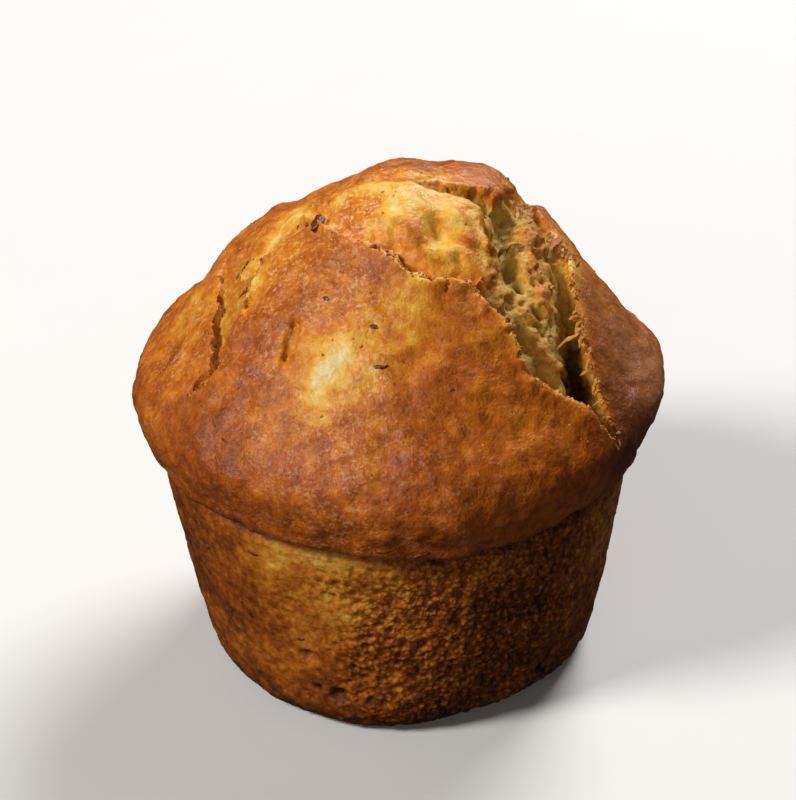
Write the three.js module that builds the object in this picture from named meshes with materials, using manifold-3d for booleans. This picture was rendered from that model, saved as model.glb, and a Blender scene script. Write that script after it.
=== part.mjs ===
// A large banana muffin, baked in a deep muffin tin and turned out without a paper case.
// One solid: a tapered body with a flat base, a brim that rose over the edge of the tin,
// and a domed crown that split open while it baked. Millimetres, +Z up. The origin is the
// centre of the flat base, and -Y is the side that the widest split runs down.

import * as THREE from "three";
import { mergeVertices } from "three/addons/utils/BufferGeometryUtils.js";
import Module from "manifold-3d";

// Driving sizes of the body, which took the shape of the tin.
const BASE_WIDTH = 66.4;
const BASE_CORNER = 5.5;
const WALL_FOOT_WIDTH = 67.6;
const MOUTH_WIDTH = 76.4;
const TIN_DEPTH = 38.5;

// Driving sizes of the cap above the tin.
const CAP_WIDTH = 85.4;
const BRIM_HEIGHT = 48.0;
const HEIGHT = 83.6;

// The dome falls by DOME_DROP from the crown to the cap's widest radius, nearly as a
// paraboloid, and the crown leans to +X, towards the wide split.
const DOME_DROP = 34.4;
const DOME_POWER = 1.92;
const CROWN_LEAN = 0.9;

// How finely the form is cut into facets.
const RINGS = 40;
const SIDES = 84;

const baseRadius = BASE_WIDTH / 2;
const mouthRadius = MOUTH_WIDTH / 2;
const capRadius = CAP_WIDTH / 2;

// The brim's upright section from its lower lip to the foot of the dome: how far inside
// the cap's widest radius, and how far above the brim's height.
const BRIM_SECTION = [
  { inside: 2.5, above: -7.3 },
  { inside: 0.7, above: -3.6 },
  { inside: 0.1, above: 0.6 },
  { inside: 1.6, above: 4.4 },
  { inside: 4.9, above: 8.5 },
];

// Shares of the cap's radius where the dome's section is fixed.
const DOME_SHARES = [0.78, 0.68, 0.55, 0.42, 0.28, 0.14, 0];

// Broad swells and hollows of the crown: place in plan, reach and rise in millimetres.
const SWELLS = [
  { x: 15, y: 11, reach: 7, rise: 2.6 },      // ridge of old crust behind the crown
  { x: 1, y: 14, reach: 5, rise: 0.9 },       // its lower end
  { x: 2, y: -9, reach: 8, rise: 0.9 },       // young crust pushed up in the middle
  { x: -12, y: 13, reach: 9, rise: -2.2 },    // flatter shoulder at the back left
  { x: -19.6, y: 15.5, reach: 2.2, rise: 0.9 }, // blister on that shoulder
  { x: 25, y: 13, reach: 5, rise: 1.0 },      // curled edge beyond the wide split
  { x: 35, y: 13, reach: 7, rise: -3.0 },     // hollow between that edge and the brim
  { x: -26, y: 14, reach: 5, rise: 0.5 },     // swelling beyond the narrow split
  { x: -35, y: 13, reach: 5, rise: -2.0 },    // hollow between it and the brim
];

// Where the side is pushed out or up: bearing and spread in degrees, height and span in
// millimetres, and the push itself in millimetres.
const PUSHES = [
  { bearing: 0, spread: 40, height: 42, span: 9, out: 0, up: 3.2 },     // brim rides up
  { bearing: -84, spread: 22, height: 39, span: 6, out: 0, up: -1.0 },  // brim sags
  { bearing: 180, spread: 50, height: 46, span: 8, out: 0, up: 0.8 },
  { bearing: 180, spread: 40, height: 32, span: 9, out: 0.6, up: 0 },
  { bearing: 90, spread: 60, height: 44, span: 9, out: 0, up: 1.6 },
  { bearing: -60, spread: 24, height: 0, span: 9, out: -2.0, up: 0 },   // rounder base
  { bearing: -15, spread: 24, height: 2, span: 8, out: -0.5, up: 0 },
  { bearing: -165, spread: 45, height: 3, span: 11, out: -0.9, up: 0 },
  { bearing: 110, spread: 30, height: 0, span: 8, out: -1.6, up: 0 },
];

// The cap swells and shrinks a little around its rim: waves around, size and phase.
const RIM_WAVES = [
  { count: 3, size: 0.35, phase: 0.6 },
  { count: 5, size: 0.3, phase: 2.1 },
];

// Splits in the crust. Each has two lips, through paired places in plan, and a floor:
// trough is its least depth, and grooves run along it, across saying where between the
// lips and reach how wide. It fades in and out over shares of its length.
const SPLITS = [
  {
    // The wide split down the front right: an island of torn crumb between two crevices.
    left: [[23, 26], [18.6, 12], [17, 1], [12.5, -4], [13.8, -9.5], [13.2, -14.5],
      [12.2, -20], [17, -24], [22, -25], [28, -24.6], [33.4, -25]],
    right: [[24.5, 26], [24.6, 13], [24.8, 5], [26, 1], [27.2, -3], [27.6, -8],
      [27.8, -12], [29, -15], [30.2, -17.5], [31.6, -21], [33.8, -24.2]],
    along: 34,
    across: 12,
    trough: 1.8,
    grooves: [
      { depth: 8, across: 0.24, reach: 0.26 },
      { depth: 7, across: 0.87, reach: 0.16 },
    ],
    fadeIn: 0.25,
    fadeOut: 0.14,
  },
  {
    // The narrow split down the left of the crown.
    left: [[-26, 4], [-27.4, -2], [-28.2, -9], [-28.9, -14.5], [-29.4, -18.4], [-32.8, -20.4]],
    right: [[-25.4, 4], [-25.8, -3], [-25.4, -11], [-27.1, -16], [-28.3, -19], [-32.4, -20.8]],
    along: 16,
    across: 4,
    trough: 0,
    grooves: [{ depth: 3.4, across: 0.35, reach: 0.65 }],
    fadeIn: 0.5,
    fadeOut: 0.5,
  },
  {
    // The step where the young crust in the middle dives under the front of the old crust.
    left: [[-9, -13.2], [-4, -15.4], [0.4, -18.4], [4, -19.8], [9, -19.4]],
    right: [[-9, -12.4], [-3.4, -13.6], [1.6, -15.8], [4.6, -17.2], [9.4, -17.6]],
    along: 12,
    across: 4,
    trough: 0,
    grooves: [{ depth: 2.2, across: 0.3, reach: 0.7 }],
    fadeIn: 0.5,
    fadeOut: 0.5,
  },
  {
    // The crack between the young crust and the ridge behind it, which opens on the wide split.
    left: [[-4, -0.6], [2, -2], [7, -3.2], [13, -5.4]],
    right: [[-4, 0.2], [2.6, 0], [8, -0.2], [14.6, -1.4]],
    along: 10,
    across: 4,
    trough: 0,
    grooves: [{ depth: 2.4, across: 0.5, reach: 0.6 }],
    fadeIn: 0.8,
    fadeOut: 0,
  },
];

// A cutter's walls reach this deep at its lips, so that it always bites through a facet,
// and its top stands this far above the crown.
const LIP_DEPTH = 0.6;
const CUTTER_ABOVE = 6;

// Places closer together than this are one corner of the mesh.
const SAME_PLACE = 1e-4;

// A smooth step from 0 to 1 between two values.
const step = (from, to, value) => THREE.MathUtils.smoothstep(value, from, to);

// Height of the smooth dome over a distance from the axis.
function domeHeight(radius) {
  return HEIGHT - DOME_DROP * Math.pow(Math.min(radius / capRadius, 1), DOME_POWER);
}

// Half of the muffin's upright section, from the middle of the base to the crown.
function sectionCurve() {
  const centre = new THREE.Vector2(0, 0);
  const flatEdge = new THREE.Vector2(baseRadius - BASE_CORNER, 0);
  const corner = new THREE.Vector2(baseRadius, 0);
  const wallFoot = new THREE.Vector2(WALL_FOOT_WIDTH / 2, BASE_CORNER);
  const neck = new THREE.Vector2(mouthRadius, TIN_DEPTH);
  const cap = [neck];
  for (const { inside, above } of BRIM_SECTION) {
    cap.push(new THREE.Vector2(capRadius - inside, BRIM_HEIGHT + above));
  }
  for (const share of DOME_SHARES) {
    cap.push(new THREE.Vector2(capRadius * share, domeHeight(capRadius * share)));
  }
  const section = new THREE.CurvePath();
  section.add(new THREE.LineCurve(centre, flatEdge));
  section.add(new THREE.QuadraticBezierCurve(flatEdge, corner, wallFoot));
  section.add(new THREE.LineCurve(wallFoot, neck));
  section.add(new THREE.SplineCurve(cap));
  return section;
}

// How far the crown's swells raise a place in plan.
function swell(x, y) {
  let rise = 0;
  for (const hump of SWELLS) {
    const away = ((x - hump.x) ** 2 + (y - hump.y) ** 2) / hump.reach ** 2;
    rise += hump.rise * Math.exp(-away);
  }
  return rise;
}

// How far the side is pushed out and up at a bearing, in radians, and a height.
function push(bearing, height) {
  const moved = { out: 0, up: 0 };
  for (const place of PUSHES) {
    let turn = THREE.MathUtils.radToDeg(bearing) - place.bearing;
    turn -= 360 * Math.round(turn / 360);
    const away = (turn / place.spread) ** 2 + ((height - place.height) / place.span) ** 2;
    moved.out += place.out * Math.exp(-away);
    moved.up += place.up * Math.exp(-away);
  }
  return moved;
}

// Moves a point of the smooth turned form to its place on the uneven baked one.
function bake(point) {
  const bearing = Math.atan2(point.y, point.x);
  const radius = Math.hypot(point.x, point.y);
  const onCap = step(TIN_DEPTH, BRIM_HEIGHT, point.z);
  const onCrown = step(BRIM_HEIGHT, BRIM_HEIGHT + 9, point.z);
  const offBase = step(0, BASE_CORNER, point.z);
  const offAxis = step(0, baseRadius / 2, radius);
  const moved = push(bearing, point.z);
  for (const wave of RIM_WAVES) {
    moved.out += onCap * wave.size * Math.sin(wave.count * bearing + wave.phase);
  }
  const grown = 1 + offAxis * moved.out / Math.max(radius, 1);
  point.x = point.x * grown + CROWN_LEAN * step(BRIM_HEIGHT, HEIGHT - 8, point.z);
  point.y *= grown;
  point.z += offBase * offAxis * moved.up + onCrown * swell(point.x, point.y);
  return point;
}

// Height of the baked crown over a place in plan.
function crownHeight(x, y) {
  return domeHeight(Math.hypot(x - CROWN_LEAN, y)) + swell(x, y);
}

// The uncut muffin: the section turned about the axis, then baked uneven.
function uncutMuffin() {
  const section = sectionCurve();
  const points = [];
  for (let ring = 0; ring <= RINGS; ring += 1) {
    points.push(section.getPointAt(ring / RINGS));
  }
  points[0].x = 0;
  points[RINGS].x = 0;
  const turned = new THREE.LatheGeometry(points, SIDES);
  turned.rotateX(Math.PI / 2);
  const places = turned.attributes.position;
  const point = new THREE.Vector3();
  for (let i = 0; i < places.count; i += 1) {
    bake(point.fromBufferAttribute(places, i));
    places.setXYZ(i, point.x, point.y, point.z);
  }
  return turned;
}

// Depth of a split's floor under the crown: along and across run from 0 to 1.
function splitDepth(split, along, across) {
  let floor = split.trough;
  for (const groove of split.grooves) {
    const away = Math.min(Math.abs(across - groove.across) / groove.reach, 1);
    floor += groove.depth * (1 - away * away) ** 2;
  }
  const fades = step(0, split.fadeIn, along) * step(0, split.fadeOut, 1 - along);
  return LIP_DEPTH + fades * floor;
}

// The block that cuts a split: a box laid between the lips, from above the crown down to
// the split's floor.
function splitCutter(split) {
  const lip = (places) => new THREE.CatmullRomCurve3(
    places.map(([x, y]) => new THREE.Vector3(x, y, 0)));
  const left = lip(split.left);
  const right = lip(split.right);
  const block = new THREE.BoxGeometry(1, 1, 1, split.across, split.along, 1);
  const places = block.attributes.position;
  for (let i = 0; i < places.count; i += 1) {
    const across = places.getX(i) + 0.5;
    const along = 0.5 - places.getY(i);
    const spot = left.getPoint(along).lerp(right.getPoint(along), across);
    const crown = crownHeight(spot.x, spot.y);
    const onFloor = places.getZ(i) < 0;
    const height = onFloor ? crown - splitDepth(split, along, across) : crown + CUTTER_ABOVE;
    places.setXYZ(i, spot.x, spot.y, height);
  }
  return block;
}

// A closed mesh becomes a solid that can be cut.
function solidOf(wasm, geometry) {
  const bare = geometry.clone();
  bare.deleteAttribute("normal");
  bare.deleteAttribute("uv");
  const merged = mergeVertices(bare, SAME_PLACE);
  const corners = merged.index.array;
  const triVerts = [];
  for (let i = 0; i < corners.length; i += 3) {
    const [a, b, c] = corners.slice(i, i + 3);
    if (a !== b && b !== c && c !== a) triVerts.push(a, b, c);
  }
  return new wasm.Manifold(new wasm.Mesh({
    numProp: 3,
    vertProperties: new Float32Array(merged.attributes.position.array),
    triVerts: new Uint32Array(triVerts),
  }));
}

// A cut solid becomes a geometry again.
function geometryOf(solid) {
  const mesh = solid.getMesh();
  const geometry = new THREE.BufferGeometry();
  geometry.setAttribute("position", new THREE.BufferAttribute(mesh.vertProperties, mesh.numProp));
  geometry.setIndex(Array.from(mesh.triVerts));
  geometry.computeVertexNormals();
  return geometry;
}

const wasm = await Module();
wasm.setup();

let muffinSolid = solidOf(wasm, uncutMuffin());
for (const split of SPLITS) {
  muffinSolid = muffinSolid.subtract(solidOf(wasm, splitCutter(split)));
}

const bakedCrust = new THREE.MeshStandardMaterial({
  color: 0xb0702c,
  roughness: 0.55,
  metalness: 0,
});

const muffin = new THREE.Mesh(geometryOf(muffinSolid), bakedCrust);
muffin.name = "muffin";

const part = new THREE.Group();
part.add(muffin);

export default part;
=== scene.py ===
"""A large banana muffin with a split crown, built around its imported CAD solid."""

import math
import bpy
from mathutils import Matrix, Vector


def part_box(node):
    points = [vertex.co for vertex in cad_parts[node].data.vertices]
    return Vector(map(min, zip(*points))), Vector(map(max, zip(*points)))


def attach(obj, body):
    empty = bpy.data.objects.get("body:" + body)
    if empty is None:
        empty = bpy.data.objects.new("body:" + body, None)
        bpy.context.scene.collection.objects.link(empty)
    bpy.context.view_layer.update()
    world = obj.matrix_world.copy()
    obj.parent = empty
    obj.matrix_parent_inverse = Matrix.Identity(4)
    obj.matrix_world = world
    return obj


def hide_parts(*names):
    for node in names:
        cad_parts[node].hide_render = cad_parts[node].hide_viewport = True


bl_info = {
    "name": "Banana Muffin",
    "version": (1, 0, 0),
    "blender": (4, 5, 0),
    "location": "View3D > Sidebar > Muffin",
    "description": "A tin-baked banana muffin with a split crown, torn shreds, flecks and crumbs",
    "category": "Mesh",
}

import bpy
import numpy as np
from bpy.props import FloatProperty, FloatVectorProperty, IntProperty, PointerProperty
from mathutils import Matrix, Vector, noise
from mathutils.bvhtree import BVHTree

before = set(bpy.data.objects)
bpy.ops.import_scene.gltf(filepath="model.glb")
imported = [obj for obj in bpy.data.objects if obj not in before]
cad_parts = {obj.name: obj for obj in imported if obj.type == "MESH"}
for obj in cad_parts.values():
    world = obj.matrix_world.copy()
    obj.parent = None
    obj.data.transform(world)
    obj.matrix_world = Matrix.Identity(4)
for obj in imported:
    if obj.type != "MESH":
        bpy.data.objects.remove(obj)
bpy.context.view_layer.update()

# Shapes are worked out in millimetres and Blender's objects are in metres.
MM = 0.001

# The body's lowest and highest corner, in millimetres. The smooth form, before it is baked
# uneven, is a little wider and lower than the body.
LOW, HIGH = (np.array(corner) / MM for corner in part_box("muffin"))
WIDER = 0.1
LOWER = 0.2
CAP_RADIUS = (HIGH[0] - LOW[0]) / 2 + WIDER
HEIGHT = HIGH[2] - LOWER

# Sizes of the tin that shaped the body, as in the CAD solid.
BASE_RADIUS = 33.2
BASE_CORNER = 5.5
WALL_FOOT_RADIUS = 33.8
MOUTH_RADIUS = 38.2
TIN_DEPTH = 38.5
BRIM_HEIGHT = 48.0
DOME_DROP = 34.4
DOME_POWER = 1.92
CROWN_LEAN = 0.9

# The brim's upright section: how far inside the widest radius, and above the brim's height.
BRIM_SECTION = [(2.5, -7.3), (0.7, -3.6), (0.1, 0.6), (1.6, 4.4), (4.9, 8.5)]

# Places of the dome in its upright section, as shares of the widest radius.
DOME_SHARES = (0.78, 0.68, 0.55, 0.42, 0.28, 0.14, 0)

# The crown's lean is whole this far under its top, and its swells this far above the brim.
LEAN_UNDER_TOP = 8
SWELLS_ABOVE_BRIM = 9

# How finely the smooth form is made: sides around it, and places along the base, its corner,
# the wall and the cap.
SIDES = 260
BASE_PLACES = 18
CORNER_PLACES = 10
WALL_PLACES = 34
CAP_PLACES = 90

# How many places stand for a smooth line: a cutter's lip, an edge that a distance is taken
# from, the plate's edge, a strand, the lip that strands hang from and a line of crumbs.
LIP_PLACES = 400
EDGE_PLACES = 120
PLATE_PLACES = 200
STRAND_PLACES = 60
HANGING_PLACES = 300
CRUMB_PLACES = 500

# What brings noise to about -1 to 1, plain and in octaves, and how fast the octaves fade and
# how much finer each is.
NOISE_GAIN = 1.6
FRACTAL_GAIN = 1.2
FADE = 0.9
FINER = 2.1

# Broad swells and hollows of the crown: x, y, reach and rise.
SWELLS = [
    (15, 11, 7, 2.6),
    (1, 14, 5, 0.9),
    (2, -9, 8, 0.9),
    (-12, 13, 9, -2.2),
    (-19.6, 15.5, 2.2, 0.9),
    (25, 13, 5, 1.0),
    (35, 13, 7, -3.0),
    (-26, 14, 5, 0.5),
    (-35, 13, 5, -2.0),
]

# Where the side is pushed: bearing and spread in degrees, height, span, out and up.
PUSHES = [
    (0, 40, 42, 9, 0, 3.2),
    (-84, 22, 39, 6, 0, -1.0),
    (180, 50, 46, 8, 0, 0.8),
    (180, 40, 32, 9, 0.6, 0),
    (90, 60, 44, 9, 0, 1.6),
    (-60, 24, 0, 9, -2.0, 0),
    (-15, 24, 2, 8, -0.5, 0),
    (-165, 45, 3, 11, -0.9, 0),
    (110, 30, 0, 8, -1.6, 0),
]

# Waves around the cap's rim: how many, size and phase.
RIM_WAVES = [(3, 0.35, 0.6), (5, 0.3, 2.1)]

# Walls of a split with no slant or undercut on either side.
UPRIGHT = [(0, 0), (0, 0)]

# Splits in the crust, as in the CAD solid: paired places of the two lips in plan, from the
# back or top to the front or bottom. Every list runs evenly along the split. A groove's middle
# and reach are shares of the way across. The pairs of lists are for the left and the right
# lip: the walls slant in by slants down to the throat, then run out under the lips by
# undercuts, and the floor rises to the lip over shoulders. All are in millimetres.
SPLITS = [
    {
        "name": "wide",
        "left": [(21, 26), (18.6, 12), (17.2, 5), (14.8, 0.5), (12, -4.6), (13.1, -10), (13.4, -15.2),
                 (12.4, -19.6), (16.1, -22.3), (21.5, -25.4), (29, -25), (33.2, -25)],
        "right": [(24, 26), (23.4, 13), (22.4, 6), (24.8, 1.8), (27, -2.6), (27, -8), (27.5, -12),
                  (27.9, -16), (29.2, -19), (30.4, -21.4), (31.8, -23.2), (33.4, -24.6)],
        "along": 200,
        "across": 60,
        "lip": (0.1, 0.1, 0.1, 0.12, 0.3, 0.5, 0.6, 0.6, 0.6, 0.6, 0.6, 0.6),
        "floor": (2.6, 3.2, 3.4, 2.0, 1.0, 1.3, 2.0, 3.0, 3.8, 4.2, 4.0, 2.0),
        "grooves": [
            {"depth": (0, 0.3, 0.3, 0.3, 1.6, 4.6, 6, 6.6, 7, 7.2, 5.4, 1.5),
             "across": (0.8, 0.8, 0.8, 0.8, 0.88, 0.9, 0.9, 0.88, 0.86, 0.8, 0.66, 0.5),
             "reach": (0.3, 0.3, 0.24, 0.16, 0.15, 0.18, 0.2, 0.22, 0.26, 0.34, 0.5, 0.5)},
        ],
        "slants": [(0.3, 0.3), (0.2, 0.2, 0.3, 0.4, 0.8, 1.2, 1.1, 1.1, 1.1, 0.9, 0.4, 0)],
        "undercuts": [(0, 0, 0, 0, 0, 0, 0.4, 1.6, 2.2, 2.0, 1.2, 0.2),
                      (0, 0, 0, 0, 0, 0.4, 0.6, 0.7, 0.9, 0.9, 0.6, 0.1)],
        "shoulders": [(0.3, 0.3, 0.5, 1.2, 1.8, 2.0, 2.2, 0.8, 0.2, 0.2, 0.2, 0.2),
                      (2.4, 3.4, 4.2, 4.4, 3.4, 0.8, 0.2, 0.2, 0.2, 0.2, 0.2, 0.2)],
        "fade_in": 0.2,
        "fade_out": 0.04,
        "rough": (0.7, 0.8),
    },
    {
        "name": "left",
        "left": [(-26.8, 3.6), (-28, -0.7), (-27.6, -8.8), (-28.3, -12), (-28.5, -16), (-28.2, -19),
                 (-29.8, -19.2), (-31, -19.8), (-32.8, -20.2)],
        "right": [(-24.8, 3.4), (-23, -3), (-22.6, -9), (-23.6, -13.4), (-25.6, -16.8), (-27, -19.8),
                  (-29.2, -20.7), (-30.8, -20.8), (-32.4, -20.6)],
        "along": 110,
        "across": 26,
        "lip": (0.4, 0.4),
        "floor": (0.5, 0.9, 1.1, 1.2, 1.2, 0.9, 0.8, 0.8, 0.4),
        "grooves": [{"depth": (0.5, 1.0, 1.1, 1.2, 1.6, 1.7, 1.4, 1.4, 0.8),
                     "across": (0.12, 0.12, 0.12, 0.16, 0.3, 0.5, 0.5, 0.5, 0.5),
                     "reach": (0.22, 0.22, 0.22, 0.28, 0.5, 0.5, 0.5)}],
        "slants": [(0, 0), (0.1, 0.1)],
        "undercuts": [(0, 0.5, 0.7, 0.8, 0.4, 0.1, 0), (0, 0)],
        "shoulders": [(0.1, 0.1), (0.3, 2.6, 3.2, 2.6, 1.2, 0.3, 0.1, 0.1)],
        "fade_in": 0.15,
        "fade_out": 0.12,
        "rough": (0.55, 0.85),
    },
    {
        "name": "left_branch",
        "left": [(-20.9, -5.0), (-21.2, -7.2), (-22.6, -8.4), (-23.6, -10.6), (-23.2, -13), (-24.2, -14.6)],
        "right": [(-20.3, -5.0), (-19.7, -7.6), (-21.6, -9.2), (-22.4, -11.2), (-21.9, -13.6), (-23.8, -15)],
        "along": 70,
        "across": 12,
        "lip": (0.3, 0.3),
        "floor": (0.4, 0.4),
        "grooves": [{"depth": (1.0, 1.8, 1.0, 0.2, 0.2, 0.6, 1.6, 2.0, 1.2),
                     "across": (0.4, 0.4), "reach": (0.7, 0.7)}],
        "slants": UPRIGHT,
        "undercuts": UPRIGHT,
        "shoulders": [(0.3, 0.3), (0.3, 0.3)],
        "fade_in": 0.2,
        "fade_out": 0.2,
        "rough": (0.75, 0.75),
    },
    {
        "name": "mark",
        "left": [(-15.7, -20.4), (-16.4, -22), (-17.2, -24.4), (-17.6, -26.8)],
        "right": [(-15.0, -20.4), (-14.5, -22), (-14.9, -24.4), (-16.4, -26.8)],
        "along": 40,
        "across": 10,
        "lip": (0.3, 0.3),
        "floor": (0.3, 0.3),
        "grooves": [{"depth": (1.0, 0.9, 0.7), "across": (0.7, 0.6), "reach": (0.9, 0.9)}],
        "slants": UPRIGHT,
        "undercuts": UPRIGHT,
        "shoulders": [(0.1, 0.1), (0.1, 0.1)],
        "fade_in": 0.3,
        "fade_out": 0.3,
        "rough": (0.45, 0.45),
    },
    {
        "name": "front_crease",
        "left": [(-20.2, -6.0), (-17.2, -2.8), (-14.8, -3.6), (-12.6, -6.4), (-10.6, -9.9), (-8.6, -12.3),
                 (-4.9, -15.2), (-1.2, -17.2), (1.2, -19.4), (4.4, -20.4), (9.2, -19.3), (10.6, -19.2),
                 (12.8, -21)],
        "right": [(-21.2, -4.4), (-17.8, -0.4), (-13.4, -1.2), (-10.6, -4.8), (-8.2, -7.4), (-5.6, -9.4),
                  (-2.4, -11), (0.6, -12.6), (2.8, -14.2), (5.6, -15), (9.4, -15), (11.2, -16),
                  (13.6, -18.6)],
        "along": 280,
        "across": 30,
        "lip": (0.05, 0.05),
        "floor": (0, 0),
        "grooves": [{"depth": (0.2, 0.35, 0.5, 0.7, 0.9, 1.3, 2.2, 2.8, 3.0, 2.8, 2.6, 2.6, 2.8),
                     "across": (0, 0), "reach": (1.0, 1.0)},
                    {"depth": (0, 0, 0.1, 0.2, 0.4, 0.7, 1.6, 2.6, 3.4, 3.0, 2.0, 1.4, 1.6),
                     "across": (0, 0), "reach": (0.4, 0.4)}],
        "slants": [(0.1, 0.1), (0, 0)],
        "undercuts": [(0, 0, 0.1, 0.1, 0.2, 0.5, 1.0, 1.6, 1.8, 1.4, 1.0, 0.8, 0.8), (0, 0)],
        "shoulders": [(0.1, 0.1), (0.1, 0.1)],
        "fade_in": 0.08,
        "fade_out": 0.02,
        "rough": (1.3, 0.06),
    },
    {
        "name": "back_crease",
        "left": [(-4, -2.6), (3.2, -3.6), (7.2, -4.4), (12.4, -5.6)],
        "right": [(-4, -2.2), (3.4, -2.4), (8, -1.0), (15, 0.8)],
        "along": 60,
        "across": 18,
        "lip": (0.1, 0.1),
        "floor": (0, 0.2, 0.6, 1.0),
        "grooves": [{"depth": (0.6, 0.8, 1.4, 2.4), "across": (0.5, 0.5), "reach": (0.5, 0.5)}],
        "slants": UPRIGHT,
        "undercuts": UPRIGHT,
        "shoulders": [(0.2, 0.4, 0.8, 1.2), (0.2, 0.2)],
        "fade_in": 0.5,
        "fade_out": 0.001,
        "rough": (0.3, 0.7),
    },
]

# How far the cutters reach above the crown, and how far under it the splits are narrowest.
CUTTER_ABOVE = 6
THROAT = 1.6

# The cutters: their top level, how near the side of the grid counts as the lip, the share of
# the width that an undercut takes in, and where a shoulder sets in and is whole, in its reach.
TOP_LEVEL = 3
AT_LIP = 0.01
UNDERCUT_SHARE = 0.3
SHOULDER = (-0.2, 1)

# How the cutters are torn: the shares of the length over which it sets in at the two ends, how
# much of it the top has, and its width, octaves and shifts for the three directions.
RAGGED_FROM = 0.06
RAGGED_TO = 0.04
TOP_RAGGED = 0.5
RAGGED = (2.6, 4, (0, 50, 90))

# The right lip of the wide split, past its top, and the part of it over the dark crevice.
RIGHT_LIP = SPLITS[0]["right"][3:]
CREVICE_LIP = RIGHT_LIP[2:]

# Hollows in the floors of the splits, in plan: x, y, reach across and along y, and depth.
# A negative depth is a lump.
HOLLOWS = [
    (15.8, -3.6, 2.0, 6, 5.6),
    (15.4, 1.4, 2.4, 2.6, 2.6),
    (16.6, -10, 1.3, 3.0, 3.4),
    (17.7, -9.2, 0.9, 1.3, 2.4),
    (18.3, -12.8, 1.0, 1.5, 3.2),
    (18.1, -19.4, 1.1, 1.8, 2.0),
    (14.2, -20.8, 1.4, 1.2, 1.8),
    (24.6, -17.8, 1.1, 1.0, 2.0),
    (22.6, -23.2, 2.2, 1.0, 2.0),
    (20.8, -19.2, 1.1, 1.2, -1.7),
    (19.6, -3.4, 1.6, 1.8, -1.0),
    (21.0, -8.6, 1.4, 2.2, -0.7),
    (22.6, -13.4, 1.3, 1.6, -0.5),
    (24.2, -5.8, 0.9, 1.8, 2.6),
    (22.2, -5.2, 0.8, 1.2, 0.9),
    (19.0, -6.6, 0.8, 1.0, 1.2),
    (23.4, -11.2, 0.8, 1.2, 1.4),
    (20.6, -15.6, 1.0, 1.2, 1.0),
    (15.8, -17, 1.4, 2.0, -0.8),
    (18.9, -17.6, 0.9, 0.9, -0.9),
    (24.0, -20.4, 1.2, 1.2, -1.2),
]

# The free edge of the front plate of crust, which stands up over the lobe and the split.
PLATE_EDGE = [(-20.6, -6.5), (-17, -2.6), (-14.6, -3.6), (-12.6, -6.4), (-10.6, -9.9), (-8.6, -12.3),
              (-4.9, -15.2), (-1.2, -17.2), (1.2, -19.4), (4.4, -20.4), (9.2, -19.4), (10.6, -19.3),
              (12.6, -20.8), (16.1, -22.3), (18.2, -24.6), (21.5, -25.6), (29, -25.1), (33.4, -25.2)]

# Outline in plan of the pale lobe that rose out of the split, whose skin is baked and not torn.
LOBE = [(-12.6, -6.2), (-8.6, -12), (-4.9, -14.9), (-1.2, -16.9), (1.2, -19), (4.4, -20), (9.2, -19),
        (12.4, -19.4), (13.8, -15.2), (13.5, -10), (12.4, -4.8), (7.2, -4.2), (3.2, -3.3), (-4, -2.4),
        (-9, -2.6)]

# Ridges and dips of the lobe's skin, in plan: x, y, reach and rise.
LOBE_FORMS = [
    (6.3, -12.6, 1.9, -1.3),
    (1.2, -9, 3.2, 0.6),
    (8.8, -9.6, 1.8, 0.9),
    (4.6, -10.2, 1.3, 0.5),
    (10.8, -12.4, 1.3, 0.9),
    (11.6, -16, 1.4, 0.5),
    (1.8, -13.6, 2.0, 1.2),
    (-1.5, -11.6, 1.6, 0.6),
    (-4.6, -12.4, 1.8, 0.6),
    (7.7, -17.1, 1.6, 0.5),
    (9.2, -15.4, 0.7, -0.5),
    (4.2, -16.6, 1.2, 0.6),
    (-2.6, -8.2, 1.4, -0.5),
    (4.6, -7.0, 1.4, -0.5),
]

# Darker and paler places of the crust, in plan: x, y, reach and change in browning.
BROWNINGS = [
    (6.2, -12.6, 1.6, -0.10),
    (8.4, -9.4, 2.6, -0.05),
    (4.4, -9.6, 2.2, -0.04),
    (-4, -9, 3, 0.05),
    (10.8, -13.0, 1.3, 0.16),
    (11.6, -16.2, 1.3, 0.08),
    # Darker in the front crease behind the plate's edge, partly painted shade.
    (1.6, -13.8, 1.8, 0.28),
    (-2.4, -14.6, 2.0, 0.22),
    (-6.2, -12.2, 2.0, 0.16),
    (3.6, -16.8, 1.4, 0.18),
    (-10, -9, 2.4, 0.12),
    (1, -8, 4, -0.05),
    (5, 1, 4.5, -0.28),
    (-7.4, -28.0, 1.5, -0.10),
    (-9.4, -28.4, 1.7, -0.16),
    (-11.8, -29.8, 2.0, -0.24),
    (-13, -30.8, 1.6, -0.10),
    (-10.6, -29.6, 4.8, -0.26),
    (-19, -13.5, 4, -0.06),
    (-31, -24, 6, 0.06),
    (-23, -7, 4, -0.12),
    (-4, -27, 5, -0.12),
    (-6, -18.6, 3.6, 0.05),
    (3, -22.6, 3.6, -0.10),
    (3, -27.5, 5, -0.14),
    (-10.5, -15.5, 3.4, 0.08),
    (-9, -21.5, 3.0, 0.07),
    (-20.5, -21, 4.5, 0.06),
    (-16, -23.8, 1.8, -0.16),
    (-22, -12, 6, -0.08),
    (-31, -4, 7, -0.09),
    (35, -22, 7, 0.16),
    (9, -28, 5, 0.10),
    (2, -36, 7, 0.12),
    (20, -32, 6, 0.05),
    (-27, -28, 8, 0.12),
    (4, 13, 8, 0.14),
    (33, -10, 10, 0.07),
    (37, -22, 8, 0.10),
    (18.5, -31.7, 2.6, -0.14),
    (-25.4, -9, 1.8, -0.22),
    (-24.2, -4.5, 2.2, -0.20),
    (-22.6, -10.5, 1.8, -0.16),
    (-19.6, -3, 2.6, -0.14),
    (-15.6, 0.5, 3.0, -0.12),
    (-11, -2, 3.0, -0.10),
]

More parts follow.
